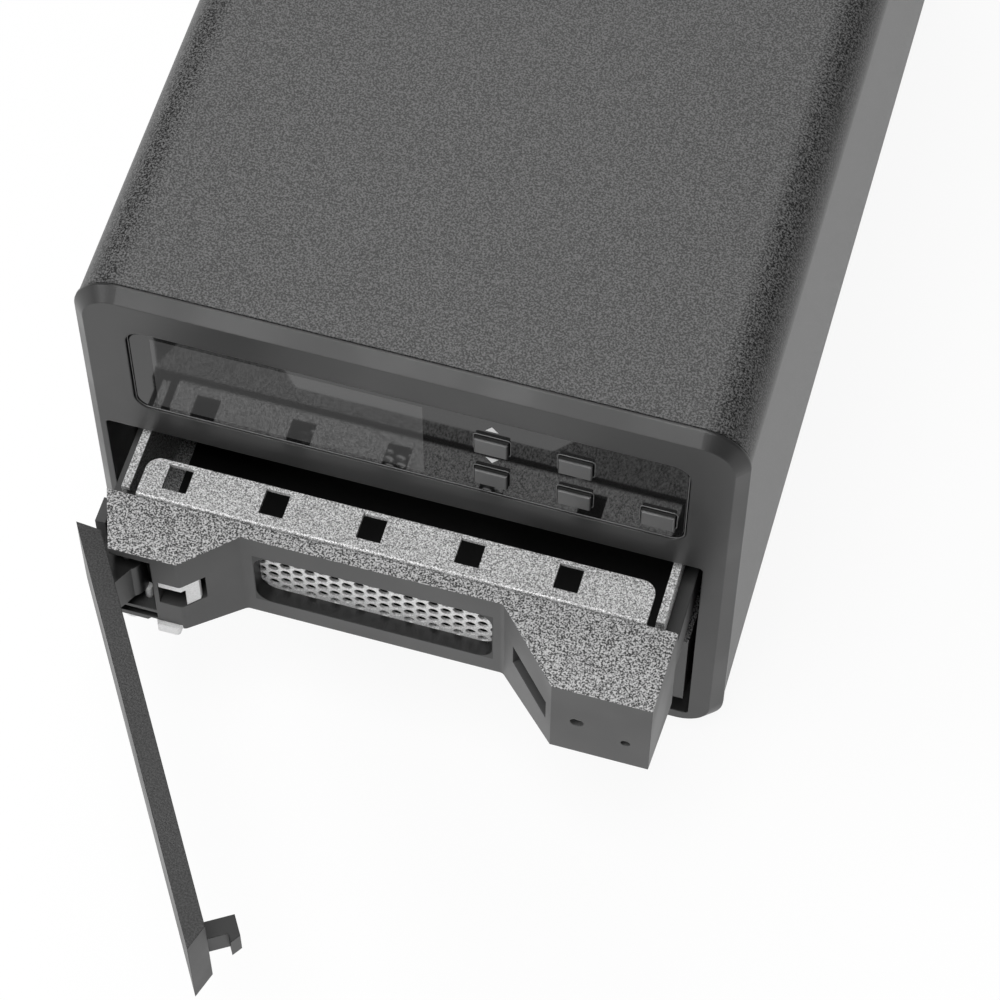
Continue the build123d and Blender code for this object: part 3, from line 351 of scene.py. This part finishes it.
@dataclass(frozen=True)
class ButtonCaps(Finish):
    """Moulded caps, painted near black as shade behind their front faces."""

    shaded_shank: Colour = (0.004, 0.004, 0.004)
    front: float = 0.0
    rim: float = 0.12 * MM
    edge: float = 0.15 * MM
    drift: ClassVar[float] = 4.0 * MM

    def surface(self, bench: Bench) -> Wire:
        """Builds the fronts and the sides behind them, painted dark as shade."""
        _, y, _ = bench.axes()
        # Painted shade: the sides behind the front face are near black.
        behind = y.ramp(self.front + self.rim, self.front + 2.0 * self.rim)
        drift = bench.noise(self.drift, 2.0)
        return bench.principled({
            "Base Color": bench.mix(behind, self.colour, self.shaded_shank),
            "Roughness": drift.ramp(0.3, 0.7, self.roughness - 0.05, self.roughness + 0.05),
            "Normal": bench.soft_edge(self.edge)})


@dataclass(frozen=True)
class SmokedPanel(Finish):
    """Glossy dark panel that is a shade lighter over the display behind it."""

    low: Vector = Vector((0.0, 0.0, 0.0))
    high: Vector = Vector((0.0, 0.0, 0.0))
    glass: Colour = (0.05, 0.05, 0.05)
    edge: float = 0.12 * MM
    drift: ClassVar[float] = 30.0 * MM

    def surface(self, bench: Bench) -> Wire:
        """Builds the panel with the display's patch in it."""
        haze = bench.noise(self.drift, 2.0)
        colour = bench.mix(bench.inside(self.low, self.high), self.colour, self.glass)
        return bench.principled({
            "Base Color": colour, "Roughness": haze.ramp(0.3, 0.7, self.roughness * 0.8,
                                                         self.roughness * 1.2),
            "Normal": bench.soft_edge(self.edge)})


@dataclass(frozen=True)
class SheetMetal(Finish):
    """Bare or plated sheet with a sparkling grain."""

    dark: Colour = (0.2, 0.2, 0.2)
    shade: Colour = (0.008, 0.008, 0.008)
    shaded: tuple[tuple[Vector, Vector], ...] = ()
    grain: float = 0.4 * MM
    relief: float = 0.02 * MM
    edge: float = 0.2 * MM
    metallic: float = 1.0
    drift: ClassVar[float] = 25.0 * MM

    def surface(self, bench: Bench) -> Wire:
        """Builds the sparkle from sharp noise and a slow drift, with painted shade in the shaded
        boxes.
        """
        fine = bench.noise(self.grain, 3.0, 0.7)
        drift = bench.noise(self.drift, 2.0)
        colour = bench.mix(fine.ramp(0.34, 0.66), self.dark, self.colour)
        # Painted shade: the boxes under the trays' brackets are painted near black.
        for low, high in self.shaded:
            colour = bench.mix(bench.inside(low, high), colour, self.shade)
        return bench.principled({
            "Base Color": colour, "Metallic": self.metallic,
            "Roughness": drift.ramp(0.3, 0.7, self.roughness - 0.06, self.roughness + 0.06),
            "Normal": bench.bump(fine, self.relief, self.edge)})


@dataclass(frozen=True)
class CircuitBoard(Finish):
    """Green solder mask with faint copper tracks under it."""

    track: Colour = (0.05, 0.2, 0.1)
    lines_per_metre: ClassVar[float] = 160.0
    patch: ClassVar[float] = 6.0 * MM

    def surface(self, bench: Bench) -> Wire:
        """Builds the tracks from a bricklike pattern of lines."""
        lines = bench.add("ShaderNodeTexBrick", {"offset": 0.5}, {
            "Vector": bench.place(), "Scale": self.lines_per_metre, "Mortar Size": 0.03,
            "Color1": (0, 0, 0, 1), "Color2": (0, 0, 0, 1), "Mortar": (1, 1, 1, 1)})
        patch = bench.noise(self.patch, 1.0)
        share = bench.wire(lines, "Fac") * (patch > 0.5)
        return bench.principled({
            "Base Color": bench.mix(share, self.colour, self.track), "Roughness": self.roughness})


@dataclass(frozen=True)
class ClearMoulding(Finish):
    """Clear plastic for lenses and light pipes, cloudy inside."""

    drift: ClassVar[float] = 1.5 * MM

    def surface(self, bench: Bench) -> Wire:
        """Builds a clear body with a slight cloud."""
        cloud = bench.noise(self.drift, 2.0)
        deep = tuple(part * 0.7 for part in self.colour)
        return bench.principled({
            "Base Color": bench.mix(cloud, deep, self.colour), "Roughness": self.roughness,
            "IOR": 1.49})


class Role(Enum):
    """The finish that each of the record's material slots gets."""

    COVER = "cover_paint"
    REAR = "rear_paint"
    BEZEL = "bezel_plastic"
    TRAY = "tray_plastic"
    LEVER = "lever_plastic"
    BUTTON = "button_plastic"
    GUIDE = "guide_plastic"
    FAN = "fan_plastic"
    WINDOW = "window_black"
    SWITCH = "switch_black"
    SWITCH_GLOSS = "switch_gloss"
    DISPLAY = "display_glass"
    LENS = "lens_clear"
    BOARD = "board_green"
    RUBBER = "rubber"
    ZINC = "zinc_sheet"
    GRILLE = "grille_steel"
    SPRING = "spring_steel"
    PORT = "port_steel"
    SCREW = "screw_steel"
    BRASS = "brass"
    SINK = "sink_aluminium"
    DISK = "disk_cast"
    DISK_LID = "disk_steel"


def own_box(node: str) -> tuple[Vector, Vector]:
    """Returns a node's lower and upper corner in its own coordinates, as its finish sees them."""
    spans = list(zip(*(vertex.co for vertex in frame["nodes"][node].data.vertices)))
    return Vector([min(span) for span in spans]), Vector([max(span) for span in spans])


def display_patch() -> tuple[Vector, Vector]:
    """Returns the box in the window that lies over the display's glass."""
    display = own_box("lcd_display")
    window = own_box("control_window")
    return (Vector((display[0].x + PATCH_BORDER, window[0].y - PATCH_DEPTH, display[0].z)),
            Vector((display[1].x - PATCH_BORDER, window[1].y + PATCH_DEPTH, display[1].z)))


def opening_shade_box(tray: str) -> tuple[Vector, Vector]:
    """Returns the box that holds the walls of a tray's grille opening, which are painted in shade.
    """
    low, high = own_box(f"{tray}_tray_grille")
    return low + OPENING_FRAME - OPENING_DEPTH, high - OPENING_FRAME


def bracket_shade_box(tray: str) -> tuple[Vector, Vector]:
    """Returns the box of painted shade under a tray's bracket."""
    low, high = own_box(f"{tray}_tray_bracket")
    floor = own_box(f"{tray}_tray_frame")[0].z
    return (Vector((low.x + BRACKET_WALL.x, low.y + BRACKET_WALL.y, floor - BRACKET_SHEET)),
            Vector((high.x - BRACKET_WALL.x, high.y + BEHIND_BRACKET, high.z - BRACKET_SHEET)))


def finishes() -> dict[Role, Finish]:
    """Returns every finish of the array by its role."""
    caps = own_box("button_up")[0].y
    low, high = display_patch()
    tray_tops = tuple(own_box(f"{tray}_tray_front")[1].z for tray in TRAYS)
    lever_tops = tuple(own_box(f"{tray}_lever")[1].z for tray in TRAYS)
    # Painted shade on the walls of each tray's grille opening.
    walls = tuple(opening_shade_box(tray) for tray in TRAYS)
    # Painted shade under each tray's bracket.
    bracket_shades = tuple(bracket_shade_box(tray) for tray in TRAYS)
    return {
        Role.COVER: PowderCoat("powder_coat", grey(0.003), 0.45, fleck=grey(0.13),
                               grain=0.38 * MM, relief=0.06 * MM),
        Role.REAR: PowderCoat("rear_coat", grey(0.01), 0.5, fleck=grey(0.11),
                              grain=0.42 * MM, relief=0.06 * MM),
        Role.BEZEL: SatinPlastic("bezel_moulding", grey(0.022), 0.36, edge=0.4 * MM),
        Role.TRAY: GrainedTop("tray_moulding", grey(0.05), 0.45, valley=grey(0.015),
                              lit_crest=grey(0.56), tops=tray_tops, shaded_openings=walls),
        Role.LEVER: GrainedTop("lever_moulding", grey(0.01), 0.4, valley=grey(0.008),
                               lit_crest=grey(0.035), tops=lever_tops),
        Role.BUTTON: ButtonCaps("button_caps", grey(0.07), 0.35, front=caps),
        Role.GUIDE: SatinPlastic("guide_moulding", grey(0.05), 0.5),
        Role.FAN: SatinPlastic("fan_moulding", grey(0.02), 0.45),
        Role.WINDOW: SmokedPanel("smoked_panel", grey(0.008), 0.05, low=low, high=high,
                                 glass=grey(0.05)),
        Role.SWITCH: SatinPlastic("switch_moulding", grey(0.02), 0.45),
        Role.SWITCH_GLOSS: SatinPlastic("rocker_gloss", grey(0.02), 0.2),
        Role.DISPLAY: SatinPlastic("display_front", grey(0.05), 0.1),
        Role.LENS: ClearMoulding("lens_body", grey(0.6), 0.1),
        Role.BOARD: CircuitBoard("circuit_board", (0.01, 0.09, 0.04), 0.35),
        Role.RUBBER: SatinPlastic("foot_rubber", grey(0.02), 0.8, texture=0.5 * MM,
                                  relief=0.03 * MM),
        Role.ZINC: SheetMetal("galvanised_sheet", grey(0.85), 0.45, dark=grey(0.1),
                              shaded=bracket_shades, grain=0.32 * MM, relief=0.05 * MM, metallic=0.3),
        Role.GRILLE: SheetMetal("grille_sheet", grey(0.9), 0.35, dark=grey(0.55),
                                metallic=0.4),
        Role.SPRING: SheetMetal("sprung_strip", grey(0.98), 0.3, dark=grey(0.85),
                                metallic=0.1),
        Role.PORT: SheetMetal("tinned_steel", grey(0.75), 0.28, dark=grey(0.55)),
        Role.SCREW: SheetMetal("screw_plating", grey(0.6), 0.3, dark=grey(0.4)),
        Role.BRASS: SheetMetal("plated_brass", (0.75, 0.55, 0.25), 0.3, dark=(0.5, 0.36, 0.15)),
        Role.SINK: SheetMetal("finned_aluminium", grey(0.3), 0.45, dark=grey(0.2)),
        Role.DISK: SheetMetal("cast_base", grey(0.12), 0.5, dark=grey(0.07), metallic=0.6),
        Role.DISK_LID: SheetMetal("disk_lid", grey(0.6), 0.35, dark=grey(0.45)),
    }


FINISHES = finishes()
SLOT_OF = {row["node"]: row["material_slot"] for row in frame["record"]["subparts"]}


def dress(piece: bpy.types.Object, role: Role) -> None:
    """Gives a piece one finish all over."""
    piece.data.materials.clear()
    piece.data.materials.append(FINISHES[role].material())


def stand_in(piece: bpy.types.Object, node: str) -> None:
    """Lets a finished piece stand for a frame node, and hides the node.

    Args:
        piece: the new piece, in its place.
        node: the node that it hides.
    """
    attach(piece, frame["nodes"][node]["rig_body"])
    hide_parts(node)
    log.info("piece %s stands for %s", piece.name, node)


def new_piece(name: str, mesh: bpy.types.Mesh) -> bpy.types.Object:
    """Links a mesh into the scene as a piece at the origin."""
    piece = bpy.data.objects.new(name, mesh)
    bpy.context.scene.collection.objects.link(piece)
    return piece


def baked(piece: bpy.types.Object) -> bpy.types.Object:
    """Turns a piece's modifiers into plain mesh and removes them."""
    graph = bpy.context.evaluated_depsgraph_get()
    mesh = bpy.data.meshes.new_from_object(piece.evaluated_get(graph))
    piece.modifiers.clear()
    piece.data = mesh
    return piece


class GeometryTree(Bench):
    """A Geometry Nodes tree with named number inputs."""

    def __init__(self, name: str, sizes: Mapping[str, float],
                 places: Sequence[Vector] = ()) -> None:
        """Makes the tree and its inputs.

        Args:
            name: the tree's name.
            sizes: each input's name and value.
            places: points that the tree starts from, where something repeats at them.
        """
        tree = bpy.data.node_groups.new(name, "GeometryNodeTree")
        super().__init__(tree)
        self.sizes = dict(sizes)
        self.places = [tuple(place) for place in places]
        tree.interface.new_socket("Places", in_out="INPUT", socket_type="NodeSocketGeometry")
        for label in self.sizes:
            tree.interface.new_socket(label, in_out="INPUT", socket_type="NodeSocketFloat")
        tree.interface.new_socket("Geometry", in_out="OUTPUT", socket_type="NodeSocketGeometry")
        self.given = tree.nodes.new("NodeGroupInput")

    def size(self, label: str) -> Wire:
        """Returns one of the tree's inputs."""
        return self.wire(self.given, label)

    def vector(self, x: Wire | float, y: Wire | float, z: Wire | float) -> Wire:
        """Joins three numbers into a vector."""
        return self.wire(self.add("ShaderNodeCombineXYZ", inputs={0: x, 1: y, 2: z}))

    def join(self, *parts: Wire) -> Wire:
        """Joins several geometries."""
        node = self.add("GeometryNodeJoinGeometry")
        for part in parts:
            self.tree.links.new(part.socket, node.inputs[0])
        return self.wire(node)

    def at_places(self, part: Wire) -> Wire:
        """Repeats a geometry at every place."""
        cloud = self.add("GeometryNodeMeshToPoints", inputs={"Mesh": self.size("Places")})
        node = self.add("GeometryNodeInstanceOnPoints", inputs={
            "Points": self.wire(cloud), "Instance": part})
        return self.wire(node)

    def moved(self, part: Wire, shift: Wire | Vector, turn: Sequence[float] = (0, 0, 0)) -> Wire:
        """Moves and turns a geometry."""
        node = self.add("GeometryNodeTransform", inputs={
            "Geometry": part, "Translation": shift, "Rotation": tuple(turn)})
        return self.wire(node)

    def piece(self, name: str, result: Wire, finish: Finish) -> bpy.types.Object:
        """Ends the tree and bakes it into a piece.

        Args:
            name: the piece's name.
            result: the geometry to show.
            finish: the finish set on it.

        Returns:
            A plain mesh piece.
        """
        real = self.add("GeometryNodeRealizeInstances", inputs={0: result})
        coat = self.add("GeometryNodeSetMaterial", inputs={
            "Geometry": self.wire(real), "Material": finish.material()})
        end = self.tree.nodes.new("NodeGroupOutput")
        self.tree.links.new(coat.outputs[0], end.inputs[0])
        seed = bpy.data.meshes.new(name)
        seed.from_pydata(self.places, [], [])
        made = new_piece(name, seed)
        modifier = made.modifiers.new(name, "NODES")
        modifier.node_group = self.tree
        for item in self.tree.interface.items_tree:
            if item.name in self.sizes:
                modifier[item.identifier] = self.sizes[item.name]
        return baked(made)


def loose_boxes(node: str) -> list[tuple[Vector, Vector]]:
    """Returns the lower and upper corner of each loose part of a frame node."""
    shaper = bmesh.new()
    shaper.from_mesh(frame["nodes"][node].data)
    bmesh.ops.remove_doubles(shaper, verts=shaper.verts, dist=0.002 * MM)
    left = set(shaper.verts)
    boxes = []
    while left:
        edge_of_search = [left.pop()]
        found = []
        while edge_of_search:
            vert = edge_of_search.pop()
            found.append(frame["nodes"][node].matrix_world @ vert.co)
            for edge in vert.link_edges:
                other = edge.other_vert(vert)
                if other in left:
                    left.remove(other)
                    edge_of_search.append(other)
        spans = list(zip(*found))
        boxes.append((Vector([min(span) for span in spans]), Vector([max(span) for span in spans])))
    shaper.free()
    return boxes


@dataclass
class PhotoCamera:
    """The camera that took the picture, from its bearing on the array."""

    eye: Vector = field(default_factory=lambda: Vector((117.035, -405.278, 697.829)) * MM)
    azimuth: float = 15.744
    elevation: float = 59.75
    roll: float = 0.403
    focal_mm: float = 131.305
    sensor_mm: float = 36.0

    def build(self) -> None:
        """Adds the camera to the scene."""
        across = math.radians(self.azimuth)
        above = math.radians(self.elevation)
        forward = Vector((-math.sin(across) * math.cos(above),
                          math.cos(across) * math.cos(above), -math.sin(above)))
        data = bpy.data.cameras.new("photo_camera")
        data.lens = self.focal_mm
        data.sensor_width = self.sensor_mm
        data.clip_start = 0.01
        data.clip_end = 50.0
        camera = bpy.data.objects.new("photo_camera", data)
        level = forward.to_track_quat("-Z", "Y").to_matrix().to_4x4()
        turn = Matrix.Rotation(math.radians(self.roll), 4, "Z")
        camera.matrix_world = Matrix.Translation(self.eye) @ level @ turn
        bpy.context.scene.collection.objects.link(camera)
        bpy.context.scene.camera = camera


@dataclass(frozen=True)
class Softbox:
    """One square studio lamp, aimed at a point."""

    name: str
    place: Vector
    aim: Vector
    size: float
    watts: float

    def build(self) -> None:
        """Adds the lamp to the scene."""
        data = bpy.data.lights.new(self.name, "AREA")
        data.energy = self.watts
        data.size = self.size
        lamp = bpy.data.objects.new(self.name, data)
        lamp.matrix_world = (Matrix.Translation(self.place)
                             @ (self.aim - self.place).to_track_quat("-Z", "Y").to_matrix().to_4x4())
        bpy.context.scene.collection.objects.link(lamp)


@dataclass
class Studio:
    """Pale floor, white surroundings and soft lamps."""

    aim: Vector = field(default_factory=lambda: Vector((0.0, 0.0, 0.05)))
    floor_half: float = 6.0
    floor_grey: float = 0.86
    floor_glow: float = 0.92
    ambient: float = 0.13

    def build(self) -> None:
        """Adds the floor, the world and the lamps."""
        self.floor()
        self.world()
        for box in (Softbox("key_left", Vector((-1.1, -0.7, 0.9)), self.aim, 0.9, 12.0),
                    Softbox("front_strip", Vector((-0.2, -1.15, 0.65)), self.aim, 0.4, 3.5),
                    Softbox("front_top", Vector((-0.1, -0.5, 1.8)), self.aim, 0.8, 18.0),
                    Softbox("back_top", Vector((-0.3, 0.95, 1.5)), self.aim, 0.9, 8.0)):
            box.build()

    def floor(self) -> None:
        """Adds the floor, white to the camera and pale to the object."""
        half = self.floor_half
        mesh = bpy.data.meshes.new("floor")
        mesh.from_pydata([(-half, -half, 0), (half, -half, 0), (half, half, 0), (-half, half, 0)],
                         [], [(0, 1, 2, 3)])
        floor = new_piece("floor", mesh)
        material = bpy.data.materials.new("floor_paper")
        material.use_nodes = True
        material.node_tree.nodes.clear()
        bench = Bench(material.node_tree)
        paper = bench.add("ShaderNodeBsdfDiffuse", inputs={
            "Color": (*grey(self.floor_grey), 1.0)})
        white = bench.add("ShaderNodeEmission", inputs={"Color": (1.0, 1.0, 1.0, 1.0),
                                                        "Strength": 1.0})
        shown = self.seen(bench, ("Is Camera Ray", "Is Glossy Ray", "Is Transmission Ray")).ramp(
            0.0, 1.0, 0.0, self.floor_glow)
        both = bench.add("ShaderNodeMixShader", inputs={
            0: shown, 1: bench.wire(paper), 2: bench.wire(white)})
        bench.add("ShaderNodeOutputMaterial", inputs={"Surface": bench.wire(both)})
        mesh.materials.append(material)

    def seen(self, bench: Bench, kinds: Sequence[str]) -> Wire:
        """Returns 1 for any of the kinds of ray named, and 0 for the rest."""
        rays = bench.add("ShaderNodeLightPath")
        total = bench.wire(rays, kinds[0])
        for kind in kinds[1:]:
            total = total + bench.wire(rays, kind)
        return total

    def world(self) -> None:
        """Lights the scene evenly and shows white behind it."""
        world = bpy.data.worlds.new("surroundings")
        bpy.context.scene.world = world
        world.use_nodes = True
        world.node_tree.nodes.clear()
        bench = Bench(world.node_tree)
        strength = self.seen(bench, ("Is Camera Ray", "Is Transmission Ray")).ramp(
            0.0, 1.0, self.ambient, 1.0)
        light = bench.add("ShaderNodeBackground", inputs={
            "Color": (1.0, 1.0, 1.0, 1.0), "Strength": strength})
        bench.add("ShaderNodeOutputWorld", inputs={"Surface": bench.wire(light)})


@dataclass
class ArrowMarks:
    """The two plain triangles printed on the window by the first buttons."""

    mark_width: float = 2.6 * MM
    mark_height: float = 1.7 * MM
    mark_lift: float = 2.2 * MM
    mark_thickness: float = 0.03 * MM
    finish: Finish = SatinPlastic("mark_print", grey(0.6), 0.5)

    def build(self) -> None:
        """Adds one mark over each of the first two buttons."""
        for button, direction in (("button_up", 1.0), ("button_down", -1.0)):
            self.mark(button, direction)

    def mark(self, button: str, direction: float) -> None:
        """Prints a small triangle on the window above a button.

        Args:
            button: the node of the button below the mark.
            direction: 1 for a point at the top, -1 for one at the bottom.
        """
        low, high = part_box(button)
        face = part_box("control_window")[0].y
        x = (low.x + high.x) / 2
        z = high.z + self.mark_lift
        half_w = self.mark_width / 2
        half_h = self.mark_height / 2 * direction
        front = face - self.mark_thickness
        corners = [(x - half_w, z - half_h), (x + half_w, z - half_h), (x, z + half_h)]
        points = [(cx, y, cz) for y in (front, face) for cx, cz in corners]
        faces = [(0, 1, 2), (5, 4, 3), (0, 3, 4, 1), (1, 4, 5, 2), (2, 5, 3, 0)]
        mesh = bpy.data.meshes.new(f"{button}_mark")
        mesh.from_pydata(points, [], faces)
        shaper = bmesh.new()
        shaper.from_mesh(mesh)
        bmesh.ops.recalc_face_normals(shaper, faces=shaper.faces)
        shaper.to_mesh(mesh)
        shaper.free()
        piece = new_piece(f"{button}_mark", mesh)
        piece.data.materials.append(self.finish.material())
        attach(piece, "enclosure")
        log.info("piece %s", piece.name)


@dataclass
class HighlightLips:
    """Thin pale lips round the window and round each button's hole, a painted highlight on their
    edges.
    """

    wire: float = 0.11 * MM
    window_corner: float = 2.6 * MM
    button_flange: float = 0.9 * MM
    button_space: float = 0.32 * MM
    button_corner: float = 0.7 * MM
    # Painted highlight: the pale wires stand for light caught on the edges of the window and of the
    # buttons' holes.
    finish: Finish = SatinPlastic("lip_highlight", grey(0.13), 0.3)

    def build(self) -> None:
        """Adds the window's lip and the buttons' lips."""
        low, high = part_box("control_window")
        middle = (low + high) / 2
        reach = high - low
        face = low.y
        self.lips("window_highlight_lip", [Vector((middle.x, face, middle.z))], reach.x - 2 * self.wire,
                  reach.z - 2 * self.wire, self.window_corner)
        caps = [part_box(name) for name in frame["nodes"] if name.startswith("button_")]
        size = caps[0][1] - caps[0][0]
        spare = 2 * (self.button_space - self.button_flange)
        centres = [Vector(((a.x + b.x) / 2, face, (a.z + b.z) / 2)) for a, b in caps]
        self.lips("button_highlight_lips", centres, size.x + spare, size.z + spare, self.button_corner)

    def lips(self, name: str, centres: Sequence[Vector], width: float, height: float,
             corner: float) -> None:
        """Runs a wire round one or more equal rectangles on the window.

        Args:
            name: the piece's name.
            centres: the rectangles' middles.
            width: their size across.
            height: their size upward.
            corner: their corner radius.
        """
        tree = GeometryTree(name, {"Width": width, "Height": height, "Corner": corner,
                                   "Wire radius": self.wire}, centres)
        outline = tree.add("GeometryNodeCurvePrimitiveQuadrilateral", inputs={
            "Width": tree.size("Width"), "Height": tree.size("Height")})
        bent = tree.add("GeometryNodeFilletCurve", {"mode": "POLY"}, {
            "Curve": tree.wire(outline), "Count": 5, "Radius": tree.size("Corner")})
        profile = tree.add("GeometryNodeCurvePrimitiveCircle", inputs={
            "Resolution": 6, "Radius": tree.size("Wire radius")})
        wire = tree.add("GeometryNodeCurveToMesh", inputs={
            "Curve": tree.wire(bent), "Profile Curve": tree.wire(profile)})
        upright = tree.moved(tree.wire(wire), Vector((0.0, 0.0, 0.0)), (math.pi / 2, 0.0, 0.0))
        piece = tree.piece(name, tree.at_places(upright), self.finish)
        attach(piece, "enclosure")
        log.info("piece %s", piece.name)


@dataclass
class ScrewHeads:
    """Six-sided screw heads with a crosswise slot, facing the rear."""

    node: str
    crown: float = 0.8
    slot_length: float = 0.95
    slot_width: float = 0.24
    slot_depth: float = 0.6

    def build(self) -> None:
        """Cuts the slots and lets the heads stand for the frame's own."""
        boxes = loose_boxes(self.node)
        low, high = boxes[0]
        reach = high - low
        flat_on_side = reach.x > reach.z
        radius = max(reach.x, reach.z) / 2
        places = [Vector(((a.x + b.x) / 2, a.y, (a.z + b.z) / 2)) for a, b in boxes]
        tree = GeometryTree(f"{self.node}_slots", {
            "Radius": radius, "Height": reach.y, "Crown": self.crown,
            "Slot length": self.slot_length, "Slot width": self.slot_width,
            "Slot depth": self.slot_depth}, places)
        radius_wire = tree.size("Radius")
        height = tree.size("Height")
        head = tree.add("GeometryNodeMeshCone", inputs={
            "Vertices": 6, "Radius Bottom": radius_wire,
            "Radius Top": radius_wire * tree.size("Crown"), "Depth": height})
        length = radius_wire * tree.size("Slot length")
        width = radius_wire * tree.size("Slot width")
        depth = height * tree.size("Slot depth") * 2.0
        bars = []
        for size in (tree.vector(length, width, depth), tree.vector(width, length, depth)):
            bar = tree.add("GeometryNodeMeshCube", inputs={"Size": size})
            bars.append(tree.moved(tree.wire(bar), tree.vector(0.0, 0.0, height)))
        cut = tree.add("GeometryNodeMeshBoolean", {"operation": "DIFFERENCE"},
                       {"Mesh 1": tree.wire(head)})
        for bar in bars:
            tree.tree.links.new(bar.socket, cut.inputs["Mesh 2"])
        turn = 0.0 if flat_on_side else math.pi / 6
        upright = tree.moved(tree.moved(tree.wire(cut), Vector((0.0, 0.0, 0.0)), (0.0, 0.0, turn)),
                             Vector((0.0, 0.0, 0.0)), (-math.pi / 2, 0.0, 0.0))
        stand_in(tree.piece(f"{self.node}_heads", tree.at_places(upright),
                            FINISHES[Role.SCREW]), self.node)


@dataclass
class PerforatedSheet:
    """The round-holed sheet behind the window of a tray front."""

    tray: str
    column_pitch: float = 2.6 * MM
    row_pitch: float = 3.0 * MM
    hole: float = 2.2 * MM
    rim: float = 1.0 * MM

    def build(self) -> None:
        """Punches the sheet and lets it stand for the frame's own."""
        node = f"{self.tray}_tray_grille"
        low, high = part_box(node)
        width, depth, height = high - low
        columns = int((width - 2 * self.rim - self.hole) / (2 * self.column_pitch)) + 1
        rows = int((height - 2 * self.rim - self.hole) / self.row_pitch) + 1
        tree = GeometryTree(f"{self.tray}_perforation", {
            "Width": width, "Height": height, "Depth": depth, "Hole radius": self.hole / 2,
            "Column pitch": self.column_pitch, "Row pitch": self.row_pitch})
        outline = tree.add("GeometryNodeCurvePrimitiveQuadrilateral", inputs={
            "Width": tree.size("Width"), "Height": tree.size("Height")})
        circle = tree.add("GeometryNodeCurvePrimitiveCircle", inputs={
            "Resolution": 16, "Radius": tree.size("Hole radius")})
        column = tree.size("Column pitch")
        row = tree.size("Row pitch")
        grids = []
        for across, up, count, tall in ((-0.5, 0.0, columns, rows), (0.5, 0.5, columns, rows - 1)):
            grid = tree.add("GeometryNodeMeshGrid", inputs={
                "Size X": column * (2.0 * (count - 1)), "Size Y": row * (tall - 1.0),
                "Vertices X": count, "Vertices Y": tall})
            shift = tree.vector(column * across, row * (up - 0.5 if up else 0.0), 0.0)
            grids.append(tree.moved(tree.wire(grid), shift))
        holes = tree.add("GeometryNodeInstanceOnPoints", inputs={
            "Points": tree.join(*grids), "Instance": tree.wire(circle)})
        curves = tree.add("GeometryNodeRealizeInstances", inputs={
            0: tree.join(tree.wire(outline), tree.wire(holes))})
        plate = tree.wire(tree.add("GeometryNodeFillCurve", {}, {"Curve": tree.wire(curves)}))
        thick = tree.add("GeometryNodeExtrudeMesh", {}, {
            "Mesh": plate, "Offset Scale": tree.size("Depth"), "Individual": False})
        base = tree.add("GeometryNodeFlipFaces", inputs={"Mesh": plate})
        solid = tree.add("GeometryNodeMergeByDistance", inputs={
            "Geometry": tree.join(tree.wire(thick), tree.wire(base)), "Distance": 0.001 * MM})
        centre = (low + high) / 2
        upright = tree.moved(tree.wire(solid), Vector((centre.x, high.y, centre.z)),
                             (math.pi / 2, 0.0, 0.0))
        stand_in(tree.piece(f"{self.tray}_perforated_sheet", upright, FINISHES[Role.GRILLE]), node)


def dress_frame() -> None:
    """Gives every frame node the finish of its slot."""
    for name, node in frame["nodes"].items():
        dress(node, Role(SLOT_OF[name]))
        log.info("node %s gets %s", name, SLOT_OF[name])


def main() -> None:
    """Builds the whole scene in order."""
    logging.basicConfig(level=logging.INFO, format="%(message)s")
    bpy.context.scene.view_settings.view_transform = "Standard"
    PhotoCamera().build()
    Studio().build()
    dress_frame()
    ArrowMarks().build()
    HighlightLips().build()
    for node in ("rear_screws", "fan_screws", "board_screws"):
        ScrewHeads(node).build()
    for tray in TRAYS:
        PerforatedSheet(tray).build()


if __name__ == "__main__":
    main()
